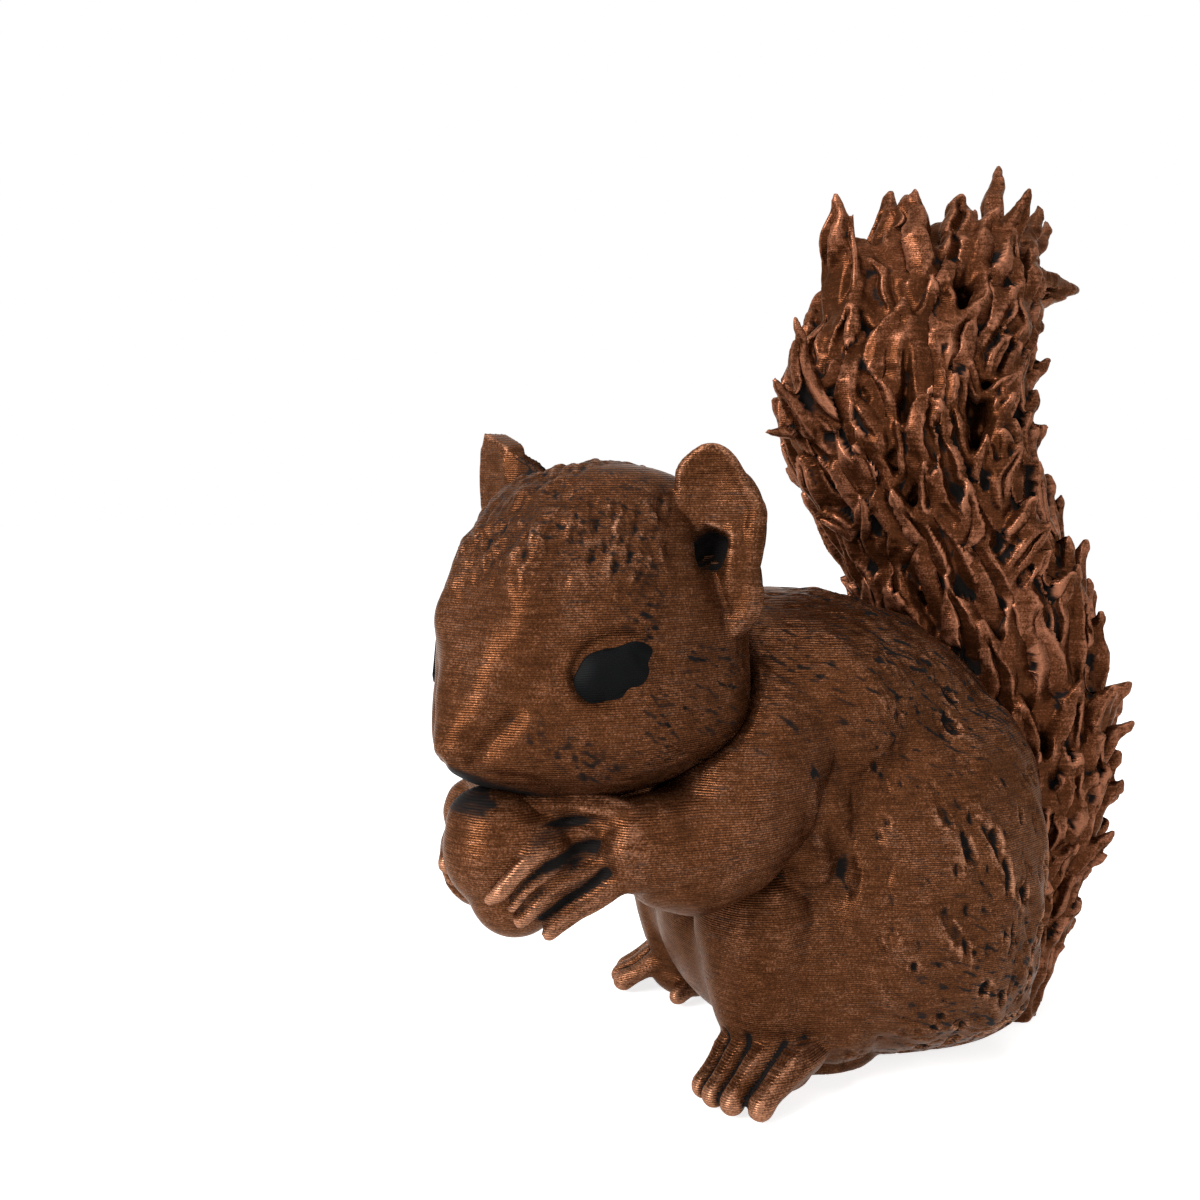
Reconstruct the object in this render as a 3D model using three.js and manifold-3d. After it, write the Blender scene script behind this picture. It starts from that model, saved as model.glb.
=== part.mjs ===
// Squirrel-like animal figurine that crouches and eats a nut, with a bushy tail of hollow flame-like locks.
// Millimetres, +Z up. The origin lies on the ground under the middle of the body, and the body faces -Y.
// The head, the hands and the nut are built about the head's own axis, which is turned to the animal's left.
import * as THREE from 'three';
import { mergeVertices } from 'three/addons/utils/BufferGeometryUtils.js';
import Module from 'manifold-3d';

const wasm = await Module();
wasm.setup();

// Driving dimensions
const CLEARANCE = 0.3;
const TORSO_HEIGHT = 46.8;
const TORSO_WIDTH = 29;
const TORSO_DEPTH = 44;
const HEAD_TURN = 34.7;
const HEAD_AXIS_SIDE = 6.5;
const HEAD_AXIS_FORWARD = 32.6;
const CHIN_HEIGHT = 29.4;
const HEAD_HEIGHT = 29.6;
const HEAD_WIDTH = 26;
const HEAD_DEPTH = 31;
const BROW_WIDTH = 5.6;
const BROW_HEIGHT = 13.5;
const BROW_PROUD = 0.9;
const BROW_LEAN = 19;
const EYE_LENGTH = 7.4;
const EYE_HEIGHT = 5;
const EYE_THICKNESS = 3;
const EYE_PROUD = 0.6;
const EYE_TILT = 18;
const EAR_HEIGHT = 18.4;
const EAR_WIDTH = 8.6;
const EAR_THICKNESS = 5;
const EAR_RIM = 1.3;
const NUT_RADIUS = 5.6;
const NUT_BITE = 0.1;
const MOUTH_SETBACK = 6.9;
const FINGER_RADIUS = 1.7;
const PALM_RADIUS = 4.3;
const WRIST_RADIUS = 4.1;
const ELBOW_RADIUS = 6.9;
const SHOULDER_RADIUS = 7.6;
const HAUNCH_HEIGHT = 39.6;
const HAUNCH_WIDTH = 19.2;
const HAUNCH_DEPTH = 28;
const HAUNCH_SPREAD = 11.4;
const KNEE_FORWARD = 20.6;
const KNEE_HEIGHT = 16.4;
const KNEE_RADIUS = 6.2;
const ANKLE_RADIUS = 4.9;
const FOOT_RADIUS = 4;
const FOOT_SPREAD = 11.6;
const FOOT_TURN = 19;
const HEEL_FORWARD = 11.6;
const TOE_RADIUS = 1.6;
const TOE_REACH = 15.9;
const INNER_TOE_LENGTH = 9.4;
const TAIL_HEIGHT = 77;
const TAIL_CORE_RADIUS = 8;
const TAIL_SPREAD = 14.4;
const TAIL_FLATNESS = 0.88;
const LOCK_ROOT = 0.7;
const LOCK_RISE = 13.5;
const LOCK_WIDTH = 7.4;
const LOCK_THICKNESS = 3.6;
const LOCK_SAG = 0.07;
const LOCK_ROWS = 9;
const LOCKS_PER_ROW = 8;

// Sections as shares of a height, a depth and a width, from the lowest to the highest. Each row holds the
// level, how far the section reaches forward and back, its half width, how far its middle lies to the side,
// how much it widens towards its back, and how square it is, where 2 is an ellipse.
const TORSO_SECTIONS = [
  [0, -0.36, 0.26, 0.6, 0, 0, 2.3],
  [0.1, -0.41, 0.3, 0.82, 0, 0, 2.3],
  [0.26, -0.44, 0.31, 1, 0, 0, 2.2],
  [0.44, -0.46, 0.3, 1, 0, 0, 2.2],
  [0.6, -0.5, 0.265, 1.06, 0, 0, 2.2],
  [0.73, -0.61, 0.2, 1.13, 0.01, 0, 2.2],
  [0.85, -0.69, 0.1, 1.1, 0.03, 0, 2.2],
  [0.93, -0.66, -0.03, 0.9, 0.07, 0, 2.1],
  [0.98, -0.56, -0.16, 0.5, 0.1, 0, 2],
  [1, -0.46, -0.27, 0.2, 0.1, 0, 2],
];
const HEAD_SECTIONS = [
  [0, -0.6, -0.1, 0.3, 0, 0.1, 2],
  [0.04, -0.66, 0.02, 0.55, 0, 0.3, 2],
  [0.11, -0.72, 0.12, 0.8, 0, 0.42, 2.1],
  [0.2, -0.735, 0.19, 0.95, 0, 0.5, 2.2],
  [0.29, -0.715, 0.23, 1, 0, 0.42, 2.2],
  [0.42, -0.66, 0.25, 1.01, 0, 0.28, 2.2],
  [0.56, -0.63, 0.25, 1, 0, 0.2, 2.2],
  [0.7, -0.58, 0.225, 0.96, 0, 0.14, 2.2],
  [0.83, -0.5, 0.17, 0.86, 0, 0.12, 2.2],
  [0.92, -0.435, 0.1, 0.76, 0, 0.1, 2.2],
  [0.975, -0.37, 0.03, 0.58, 0, 0.05, 2.2],
  [1, -0.29, -0.07, 0.34, 0, 0, 2.1],
];
const HAUNCH_SECTIONS = [
  [0, -0.4, 0.26, 0.3, -0.62, 0, 2.2],
  [0.06, -0.48, 0.28, 0.56, -0.4, 0, 2.2],
  [0.16, -0.56, 0.3, 0.84, -0.15, 0, 2.2],
  [0.3, -0.6, 0.305, 0.98, -0.03, 0, 2.2],
  [0.5, -0.61, 0.305, 1, 0, 0, 2.2],
  [0.7, -0.57, 0.3, 0.93, -0.06, 0, 2.2],
  [0.86, -0.46, 0.24, 0.72, -0.18, 0, 2.1],
  [0.96, -0.28, 0.12, 0.42, -0.32, 0, 2],
  [1, -0.15, 0.02, 0.15, -0.4, 0, 2],
];

// Seats on the head: a level as a share of its height and a bearing in degrees from straight ahead.
const EYE_SEAT = { level: 0.43, bearing: 63 };
const EAR_SEAT = { level: 0.78, bearing: 98 };
const BROW_SEAT = { level: 0.66, bearing: 24 };

// Each finger runs over the nut through three bearings and heights in degrees, seen from the nut's middle.
const FINGERS = [
  [[132, 32], [104, 46], [58, 47]],
  [[132, 16], [96, 16], [60, 4]],
  [[131, 2], [112, -7], [78, -15]],
  [[129, -12], [113, -24], [90, -34]],
];

// Toes fan out from the heel: a bearing in degrees from the foot's own middle line and a share of the reach.
const TOES = [[-16, 0.88], [-5, 1], [6, 0.97], [18, 0.83]];

// Middle of the tail as shares of its height: back, side and up, then the share of the core's radius, the
// share of the spread that the tips of its locks reach and the share of their rise.
const TAIL_LINE = [
  [0.12, 0, -0.02, 0.8, 0.42, 0.6],
  [0.13, 0, 0.14, 1, 0.64, 0.65],
  [0.155, -0.01, 0.31, 1.2, 0.88, 0.75],
  [0.145, -0.02, 0.5, 1.12, 0.97, 0.9],
  [0.085, -0.025, 0.66, 1.08, 0.86, 1],
  [-0.015, -0.03, 0.8, 1.05, 1, 1],
  [0.012, -0.045, 0.91, 0.96, 1.05, 1],
  [0.058, -0.055, 1, 0.75, 0.98, 1],
];

// Tips of the crown's locks as shares of the tail's height: side, back and up.
const CROWN_TIPS = [
  [0.01, -0.11, 1.125], [-0.026, 0.012, 1.14], [-0.04, 0.1, 1.15], [-0.07, 0.185, 1.2],
  [-0.09, 0.27, 1.13], [-0.153, 0.37, 1.05], [0.1, 0.04, 1.09], [-0.18, 0.09, 1.08],
];

// Sections of a lock: shares of its length, its width and its thickness, then the depth of its hollow and of
// the keel that ties it to the core.
const LOCK_SECTIONS = [
  [0, 0.7, 0.8, 0, 0.7],
  [0.4, 1, 1, 1.1, 1.7],
  [0.76, 0.78, 0.85, 1.15, 2.3],
  [1, 0.08, 0.25, 0, 0.7],
];

const bronze = (shade) => new THREE.MeshStandardMaterial({
  color: new THREE.Color(0.36 * shade, 0.17 * shade, 0.09 * shade),
  roughness: 0.42,
  metalness: 0.6,
});
const eyeBlack = new THREE.MeshStandardMaterial({ color: 0x16181a, roughness: 0.6, metalness: 0 });

const radians = THREE.MathUtils.degToRad;
const vector = (x, y, z) => new THREE.Vector3(x, y, z);

// Joins and cuts
function solid(geometry) {
  const plain = geometry.clone();
  plain.deleteAttribute('normal');
  plain.deleteAttribute('uv');
  const merged = mergeVertices(plain, 1e-4);
  return new wasm.Manifold(new wasm.Mesh({
    numProp: 3,
    vertProperties: new Float32Array(merged.attributes.position.array),
    triVerts: new Uint32Array(merged.index.array),
  }));
}

const joined = (forms) => forms.map(solid).reduce((whole, next) => whole.add(next));

const cut = (whole, others) => others.reduce((rest, other) => rest.subtract(other), whole);

// Everything under the ground is cut off, so that the figurine stands flat.
function standing(whole) {
  const reach = 4 * TAIL_HEIGHT;
  return whole.subtract(solid(new THREE.BoxGeometry(reach, reach, reach).translate(0, 0, -reach / 2)));
}

// A piece that was made for the left side, turned over to the right where side is -1.
function sided(geometry, side) {
  if (side > 0) return geometry;
  const turned = geometry.clone().scale(-1, 1, 1);
  const corners = turned.index.array;
  for (let i = 0; i < corners.length; i += 3) {
    [corners[i], corners[i + 1]] = [corners[i + 1], corners[i]];
  }
  return turned;
}

const ovoid = (radii, around, levels) => new THREE.SphereGeometry(1, around, levels).scale(...radii);

// Rings of points, each with as many points, skinned into one closed body with a fan at each end.
function skin(rings) {
  const around = rings[0].length;
  const points = rings.flat();
  const faces = [];
  for (let start = 0; start < (rings.length - 1) * around; start += around) {
    for (let i = 0; i < around; i += 1) {
      const a = start + i;
      const b = start + (i + 1) % around;
      faces.push(a, b, b + around, a, b + around, a + around);
    }
  }
  const middle = (ring) => ring.reduce((sum, point) => sum.add(point), vector(0, 0, 0)).divideScalar(around);
  const last = points.length - around;
  points.push(middle(rings[0]), middle(rings.at(-1)));
  for (let i = 0; i < around; i += 1) {
    const next = (i + 1) % around;
    faces.push(points.length - 2, next, i, points.length - 1, last + i, last + next);
  }
  return new THREE.BufferGeometry().setFromPoints(points).setIndex(faces);
}

// Smooth values between the rows of a table, read at a place from 0 at the first row to 1 at the last.
function between(rows) {
  const curve = new THREE.CubicInterpolant(rows.map((row, i) => i), rows.flat(), rows[0].length, []);
  return (place) => [...curve.evaluate(Math.min(Math.max(place, 0), 1) * (rows.length - 1))];
}

// A point of a level section. Its angle counts from the figurine's left towards its back.
function sectionPoint([level, front, back, half, side, widen, square], angle, size, grow) {
  const squared = (value) => Math.sign(value) * Math.abs(value) ** (2 / square);
  const along = squared(Math.sin(angle));
  const across = squared(Math.cos(angle));
  const reach = (back - front) / 2 * size.depth + grow;
  const spread = half * size.width / 2 * (1 + widen * along) + grow;
  return vector(
    side * size.width / 2 + across * spread,
    (front + back) / 2 * size.depth + along * reach,
    level * size.height + grow * (2 * level - 1),
  );
}

// Whether a point lies inside such a loft, or within a margin of its wall.
function covers(rows, size, point, margin) {
  const row = between(rows);
  let place = 0;
  while (place < 1 && row(place)[0] * size.height < point.z) place += 0.01;
  const [level, front, back, half, side, , square] = row(place);
  if (point.z > (level * size.height) + margin) return false;
  const along = (point.y - (front + back) / 2 * size.depth) / ((back - front) / 2 * size.depth + margin);
  const across = (point.x - side * size.width / 2) / (half * size.width / 2 + margin);
  return Math.abs(along) ** square + Math.abs(across) ** square < 1;
}

// A closed loft through level sections. With grow it is the same form, that much larger all round.
function tower(rows, size, around, levels, grow = 0) {
  const row = between(rows);
  return skin(Array.from({ length: levels }, (_, i) => (
    Array.from({ length: around }, (_, j) => (
      sectionPoint(row(i / (levels - 1)), j / around * 2 * Math.PI, size, grow)
    ))
  )));
}

// A tapering limb along a smooth line through stops, each a place with its radius. Its ends are rounded by
// a ring for each of the end angles.
function limb(stops, around, levels, grow = 0, endAngles = [35, 75]) {
  const line = new THREE.CatmullRomCurve3(stops.map((stop) => stop.place), false, 'centripetal');
  const radius = between(stops.map((stop) => [stop.radius]));
  const frames = line.computeFrenetFrames(levels - 1, false);
  const ring = (level, forward, wide) => Array.from({ length: around }, (_, i) => {
    const angle = i / around * 2 * Math.PI;
    return line.getPointAt(level / (levels - 1))
      .addScaledVector(frames.tangents[level], forward)
      .addScaledVector(frames.normals[level], Math.cos(angle) * wide)
      .addScaledVector(frames.binormals[level], Math.sin(angle) * wide);
  });
  const size = (level) => radius(level / (levels - 1))[0] + grow;
  const end = (level, sign) => endAngles.map(radians).map((angle) => (
    ring(level, sign * Math.sin(angle) * size(level), Math.cos(angle) * size(level))
  ));
  const middle = Array.from({ length: levels }, (_, level) => ring(level, 0, size(level)));
  return skin([...end(0, -1).reverse(), ...middle, ...end(levels - 1, 1)]);
}

// Head, in its own frame: the origin lies under the skull's axis at the height of the chin.
const headSize = { width: HEAD_WIDTH, depth: HEAD_DEPTH, height: HEAD_HEIGHT };
const skullForm = (grow = 0) => tower(HEAD_SECTIONS, headSize, 26, 19, grow);

const headFrame = new THREE.Group();
headFrame.position.set(HEAD_AXIS_SIDE, -HEAD_AXIS_FORWARD, CHIN_HEIGHT);
headFrame.rotation.z = radians(HEAD_TURN);
headFrame.updateMatrix();
const onBody = (geometry) => geometry.clone().applyMatrix4(headFrame.matrix);

// A seat on the left of the head: the point on the surface and the level direction out of it.
function headSeat({ level, bearing }) {
  const row = between(HEAD_SECTIONS);
  let place = 0;
  while (row(place)[0] < level) place += 0.001;
  const at = (turn) => sectionPoint(row(place), radians(bearing + turn - 90), headSize, 0);
  const along = at(1).sub(at(-1)).normalize();
  return { point: at(0), out: vector(along.y, -along.x, 0), along };
}

// Brows: two upright ridges that run from the crown down to the muzzle.
function browForm(grow = 0) {
  const { point, out } = headSeat(BROW_SEAT);
  const radii = [BROW_WIDTH / 2 + grow, BROW_WIDTH * 0.4 + grow, BROW_HEIGHT / 2 + grow];
  return ovoid(radii, 10, 8)
    .rotateX(radians(-BROW_LEAN))
    .rotateZ(Math.atan2(out.x, -out.y))
    .translate(...point.clone().addScaledVector(out, BROW_PROUD - BROW_WIDTH * 0.4));
}
const headForms = (grow = 0) => [skullForm(grow), browForm(grow), sided(browForm(grow), -1)];

// Eyes: black almonds let into the head, with their rear corner higher.
function eyeForm(grow = 0) {
  const { point, out } = headSeat(EYE_SEAT);
  const radii = [EYE_LENGTH / 2 + grow, EYE_THICKNESS / 2 + grow, EYE_HEIGHT / 2 + grow];
  const back = vector(-out.y, out.x, 0);
  const depth = EYE_THICKNESS / 2 - EYE_PROUD;
  return ovoid(radii, 12, 8)
    .rotateY(radians(-EYE_TILT))
    .applyMatrix4(new THREE.Matrix4().makeBasis(back, out.clone().negate(), vector(0, 0, 1)))
    .translate(...point.clone().addScaledVector(out, -depth));
}

// Ears: cups with a thick rim that open forward and outward.
function earForms() {
  const { point, out } = headSeat(EAR_SEAT);
  const up = vector(-0.05, -0.22, 0.97).normalize();
  const opening = vector(0.5, -0.84, -0.12).projectOnPlane(up).normalize();
  const wide = vector(0, 0, 0).crossVectors(up, opening);
  const frame = new THREE.Matrix4().makeBasis(wide, opening.clone().negate(), up);
  frame.setPosition(point.clone().addScaledVector(out, EAR_THICKNESS * 0.3));
  const shell = ovoid([EAR_WIDTH / 2, EAR_THICKNESS / 2, EAR_HEIGHT / 2], 12, 9);
  const hollow = ovoid([EAR_WIDTH / 2 - EAR_RIM, EAR_THICKNESS / 2, EAR_HEIGHT / 2 - 1.6 * EAR_RIM], 10, 6)
    .translate(0, -EAR_THICKNESS * 0.42, EAR_RIM * 0.6);
  return { shell: shell.applyMatrix4(frame), hollow: hollow.applyMatrix4(frame) };
}

// Nut, held in the mouth, and the places round it that the hands take.
const noseReach = Math.max(...HEAD_SECTIONS.map((row) => -row[1])) * HEAD_DEPTH;
const nutMiddle = vector(0, MOUTH_SETBACK - noseReach, NUT_BITE - NUT_RADIUS);
const nutForm = (grow = 0) => {
  const radius = NUT_RADIUS + grow;
  return ovoid([radius * 0.96, radius, radius * 0.96], 16, 9).rotateX(radians(24)).translate(...nutMiddle);
};
const roundNut = (bearing, height, distance) => vector(
  Math.sin(radians(bearing)) * Math.cos(radians(height)),
  -Math.cos(radians(bearing)) * Math.cos(radians(height)),
  Math.sin(radians(height)),
).multiplyScalar(distance).add(nutMiddle);

// Hands: a palm beside the nut and four fingers that lie round it.
const palmDistance = NUT_RADIUS + 0.8 * PALM_RADIUS;
function handForms(grow = 0) {
  const palm = ovoid([PALM_RADIUS * 0.8 + grow, PALM_RADIUS + grow, PALM_RADIUS + grow], 10, 7)
    .translate(...roundNut(120, 8, palmDistance));
  const fingers = FINGERS.map((bearings) => limb(bearings.map(([bearing, height], i) => ({
    place: roundNut(bearing, height, NUT_RADIUS + (0.5 - 0.15 * i) * FINGER_RADIUS),
    radius: FINGER_RADIUS * (1.05 - 0.13 * i),
  })), 6, 4, grow, [50]));
  return [palm, ...fingers];
}

// Body
const torsoSize = { width: TORSO_WIDTH, depth: TORSO_DEPTH, height: TORSO_HEIGHT };
const torsoForm = (grow = 0) => tower(TORSO_SECTIONS, torsoSize, 24, 15, grow);

// Arms: from the shoulder over a full round elbow to the wrist behind the palm. The elbows differ because
// both hands meet in front of the turned head. Shoulders and elbows lie at shares of the torso's sizes.
const SHOULDER = [0.42, -0.47, 0.73];
const ELBOWS = { left: [0.586, -0.645, 0.543], right: [-0.234, -0.686, 0.462] };
const onTorso = ([side, back, up]) => vector(side * TORSO_WIDTH, back * TORSO_DEPTH, up * TORSO_HEIGHT);
function armForm(side, grow = 0) {
  const shoulder = onTorso(SHOULDER);
  shoulder.x *= side;
  const behindPalm = roundNut(126, 12, palmDistance + 0.55 * PALM_RADIUS);
  behindPalm.x *= side;
  return limb([
    { place: shoulder, radius: SHOULDER_RADIUS },
    { place: onTorso(side > 0 ? ELBOWS.left : ELBOWS.right), radius: ELBOW_RADIUS },
    { place: behindPalm.applyMatrix4(headFrame.matrix), radius: WRIST_RADIUS },
  ], 12, 8, grow);
}

// Haunches: thigh and flank as one form on each side, and the knee and shin in front of it.
const haunchSize = { width: HAUNCH_WIDTH, depth: HAUNCH_DEPTH, height: HAUNCH_HEIGHT };
function haunchForms(side, grow = 0) {
  const thigh = tower(HAUNCH_SECTIONS, haunchSize, 18, 13, grow).translate(HAUNCH_SPREAD, 0, 0);
  const shin = limb([
    { place: vector(FOOT_SPREAD, -KNEE_FORWARD, KNEE_HEIGHT), radius: KNEE_RADIUS },
    { place: vector(FOOT_SPREAD, -KNEE_FORWARD * 0.98, KNEE_HEIGHT * 0.65), radius: ANKLE_RADIUS * 1.1 },
    { place: vector(FOOT_SPREAD, -KNEE_FORWARD * 0.95, ANKLE_RADIUS * 1.5), radius: ANKLE_RADIUS },
  ], 10, 4, grow);
  return [sided(thigh, side), sided(shin, side)];
}

// Feet: a heel and instep turned outward, four long toes and a small separate inner toe.
function footForms() {
  const heel = vector(FOOT_SPREAD, -HEEL_FORWARD, 0);
  const onFoot = (bearing, reach, height) => {
    const angle = radians(FOOT_TURN + bearing);
    return heel.clone().add(vector(Math.sin(angle), -Math.cos(angle), 0).multiplyScalar(reach)).setZ(height);
  };
  const instep = limb([
    { place: onFoot(0, -0.3 * FOOT_RADIUS, 0.75 * FOOT_RADIUS), radius: FOOT_RADIUS * 0.85 },
    { place: onFoot(0, 0.5 * FOOT_RADIUS, 0.85 * FOOT_RADIUS), radius: FOOT_RADIUS },
    { place: onFoot(0, 1.7 * FOOT_RADIUS, 0.7 * FOOT_RADIUS), radius: FOOT_RADIUS * 0.85 },
  ], 8, 4, 0, [50]);
  const toes = TOES.map(([bearing, reach]) => {
    const at = (share, height, size) => ({
      place: onFoot(bearing, share * reach * TOE_REACH, height * TOE_RADIUS),
      radius: size * TOE_RADIUS,
    });
    return limb([at(0.42, 2.3, 1), at(0.66, 2.4, 1.05), at(0.93, 0.85, 0.85)], 6, 3, 0, [50]);
  });
  const innerToe = limb([
    { place: onFoot(-65, 2.2 * TOE_RADIUS, 1.6 * TOE_RADIUS), radius: TOE_RADIUS },
    { place: onFoot(-46, INNER_TOE_LENGTH, 0.8 * TOE_RADIUS), radius: 0.8 * TOE_RADIUS },
  ], 6, 3, 0, [50]);
  return [instep, ...toes, innerToe];
}

// A hollow flame-like lock from its root to its tip. It opens to the side that out points to, and its middle
// sags away from there, so that its tip flicks outward.
function lockForm(root, tip, out, width) {
  const length = root.distanceTo(tip);
  const along = tip.clone().sub(root).normalize();
  const upright = out.clone().projectOnPlane(along).normalize();
  const side = vector(0, 0, 0).crossVectors(along, upright);
  const sag = LOCK_SAG * length;
  return skin(LOCK_SECTIONS.map(([share, wide, thick, hollow, keel]) => {
    const middle = root.clone().lerp(tip, share).addScaledVector(upright, -4 * share * (1 - share) * sag);
    const normal = upright.clone().addScaledVector(along, 4 * (1 - 2 * share) * sag / length).normalize();
    const outline = [[1, 0], [0.6, 0.9], [0, 0.9 - hollow], [-0.6, 0.9], [-1, 0], [0, -keel]];
    return outline.map(([across, lift]) => middle.clone()
      .addScaledVector(side, -across * wide * width / 2)
      .addScaledVector(normal, lift * thick * LOCK_THICKNESS / 2));
  }));
}

// A steady scatter from 0 to 1, so that no two locks are alike.
const scatter = (seed) => {
  const wave = Math.sin(seed * 12.9898) * 43758.5453;
  return wave - Math.floor(wave);
};

// Whether the torso or a haunch covers a place, so that no lock can grow there.
function bodyCovers(point) {
  const besideMiddle = vector(Math.abs(point.x) - HAUNCH_SPREAD, point.y, point.z);
  return covers(TORSO_SECTIONS, torsoSize, point, LOCK_THICKNESS / 2)
    || covers(HAUNCH_SECTIONS, haunchSize, besideMiddle, LOCK_THICKNESS / 2);
}

// Tail: a curved core and staggered rows of locks, whose tips reach the tail's outline. A lock grows only where
// the torso and the haunches leave it free.
function tailForms() {
  const stops = TAIL_LINE.map(([back, side, up, share]) => ({
    place: vector(side, back, up).multiplyScalar(TAIL_HEIGHT),
    radius: share * TAIL_CORE_RADIUS,
  }));
  const line = new THREE.CatmullRomCurve3(stops.map((stop) => stop.place), false, 'centripetal');
  const lineLength = line.getLength();
  const shares = between(TAIL_LINE.map((row) => row.slice(3)));
  const outward = (place, bearing) => {
    const ahead = vector(0, -1, 0).projectOnPlane(line.getTangentAt(place)).normalize();
    return ahead.applyAxisAngle(line.getTangentAt(place), bearing);
  };
  const locks = [];
  for (let row = 0; row < LOCK_ROWS; row += 1) {
    for (let i = 0; i < LOCKS_PER_ROW; i += 1) {
      const seed = row * LOCKS_PER_ROW + i + 1;
      const place = (row + 0.3 + 0.5 * scatter(seed)) / LOCK_ROWS * (1 - LOCK_RISE / lineLength);
      const [coreShare, , riseShare] = shares(place);
      const bearing = (i + 0.5 * (row % 2) + 0.3 * scatter(seed + 38)) / LOCKS_PER_ROW * 2 * Math.PI;
      const tipPlace = place + riseShare * LOCK_RISE / lineLength;
      const out = outward(tipPlace, bearing);
      const flattened = THREE.MathUtils.lerp(TAIL_FLATNESS, 1, Math.abs(out.y));
      const reach = TAIL_SPREAD * shares(tipPlace)[1] * flattened * (0.86 + 0.18 * scatter(seed + 90));
      const rootDepth = LOCK_ROOT * coreShare * TAIL_CORE_RADIUS;
      const root = line.getPointAt(place).addScaledVector(outward(place, bearing), rootDepth);
      const tip = line.getPointAt(tipPlace).addScaledVector(out, reach);
      const free = [0.2, 0.6, 1].every((share) => !bodyCovers(root.clone().lerp(tip, share)));
      if (free) locks.push(lockForm(root, tip, out, LOCK_WIDTH * (0.9 + 0.25 * scatter(seed + 130))));
    }
  }
  const top = line.getPointAt(1);
  const crown = CROWN_TIPS.map((share) => {
    const tip = vector(share[0], share[1], share[2]).multiplyScalar(TAIL_HEIGHT);
    const out = tip.clone().sub(top).setZ(0).normalize();
    const root = top.clone().addScaledVector(out, 0.4 * TAIL_CORE_RADIUS);
    root.z -= 0.6 * TAIL_CORE_RADIUS;
    return lockForm(root, tip, out, LOCK_WIDTH);
  });
  return [limb(stops, 12, 13), ...locks, ...crown];
}

// Assembly: each piece gives way by the clearance to the pieces that it is set against.
const figurine = new THREE.Group();
figurine.add(headFrame);

function addPiece(parent, name, piece, material) {
  const mesh = piece.getMesh();
  const geometry = new THREE.BufferGeometry();
  geometry.setAttribute('position', new THREE.BufferAttribute(mesh.vertProperties, 3));
  geometry.setIndex(new THREE.BufferAttribute(mesh.triVerts, 1));
  const node = new THREE.Mesh(geometry, material);
  node.name = name;
  parent.add(node);
}

const headRoom = joined(headForms(CLEARANCE));
const headRoomOnBody = joined(headForms(CLEARANCE).map(onBody));
const torsoRoom = solid(torsoForm(CLEARANCE));
const nutRoom = solid(nutForm(CLEARANCE));
const nutRoomOnBody = solid(onBody(nutForm(CLEARANCE)));
const SIDES = { left: 1, right: -1 };

addPiece(headFrame, 'nut', cut(solid(nutForm()), [headRoom]), bronze(1.05));
const torso = standing(cut(solid(torsoForm()), [headRoomOnBody]));
addPiece(figurine, 'torso', torso, bronze(0.95));

let head = joined(headForms());
const tailRoom = [torsoRoom];
for (const [name, side] of Object.entries(SIDES)) {
  head = head.subtract(solid(sided(eyeForm(CLEARANCE), side)));
  addPiece(headFrame, `${name}_eye`, solid(sided(eyeForm(), side)), eyeBlack);

  const ear = earForms();
  const cup = solid(sided(ear.shell, side)).subtract(solid(sided(ear.hollow, side)));
  addPiece(headFrame, `${name}_ear`, cup.subtract(headRoom), bronze(1));

  const hand = joined(handForms().map((form) => sided(form, side)));
  addPiece(headFrame, `${name}_hand`, cut(hand, [nutRoom, headRoom]), bronze(1.1));

  const handRoom = joined(handForms(CLEARANCE).map((form) => onBody(sided(form, side))));
  const arm = cut(solid(armForm(side)), [torsoRoom, headRoomOnBody, handRoom, nutRoomOnBody]);
  addPiece(figurine, `${name}_arm`, arm, bronze(1));

  const armRoom = solid(armForm(side, CLEARANCE));
  const haunch = standing(cut(joined(haunchForms(side)), [torsoRoom, armRoom]));
  addPiece(figurine, `${name}_haunch`, haunch, bronze(0.97));

  const haunchRoom = joined(haunchForms(side, CLEARANCE));
  tailRoom.push(haunchRoom);
  const foot = joined(footForms().map((form) => sided(form, side)));
  addPiece(figurine, `${name}_foot`, standing(cut(foot, [torsoRoom, haunchRoom])), bronze(1.05));
}
addPiece(headFrame, 'head', head, bronze(1));
addPiece(figurine, 'tail', standing(cut(joined(tailForms()), tailRoom)), bronze(1));

export default figurine;
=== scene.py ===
"""Looks of a squirrel-like animal figurine that eats a nut: a small print, painted in bronze over black.

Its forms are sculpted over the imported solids. Lengths here are in millimetres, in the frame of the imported
model: +Z is up, the body faces -Y and its left is +X. Meshes are in metres.
"""

import math
from functools import partial

import bmesh
import bpy
import numpy as np
from bpy.props import FloatProperty, FloatVectorProperty, PointerProperty
from mathutils import Matrix, Vector


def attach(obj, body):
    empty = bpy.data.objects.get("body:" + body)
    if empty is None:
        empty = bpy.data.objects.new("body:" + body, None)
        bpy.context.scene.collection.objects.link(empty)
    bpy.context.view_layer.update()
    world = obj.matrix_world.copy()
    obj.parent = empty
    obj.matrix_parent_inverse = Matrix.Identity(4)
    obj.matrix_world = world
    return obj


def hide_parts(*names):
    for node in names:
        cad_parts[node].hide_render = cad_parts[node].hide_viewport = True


bl_info = {
    "name": "Nut-eating figurine",
    "version": (1, 0, 0),
    "blender": (4, 5, 0),
    "location": "3D View > Sidebar > Figurine",
    "description": "Sculpted and painted pieces of a small printed animal figurine",
    "category": "Object",
}

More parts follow.
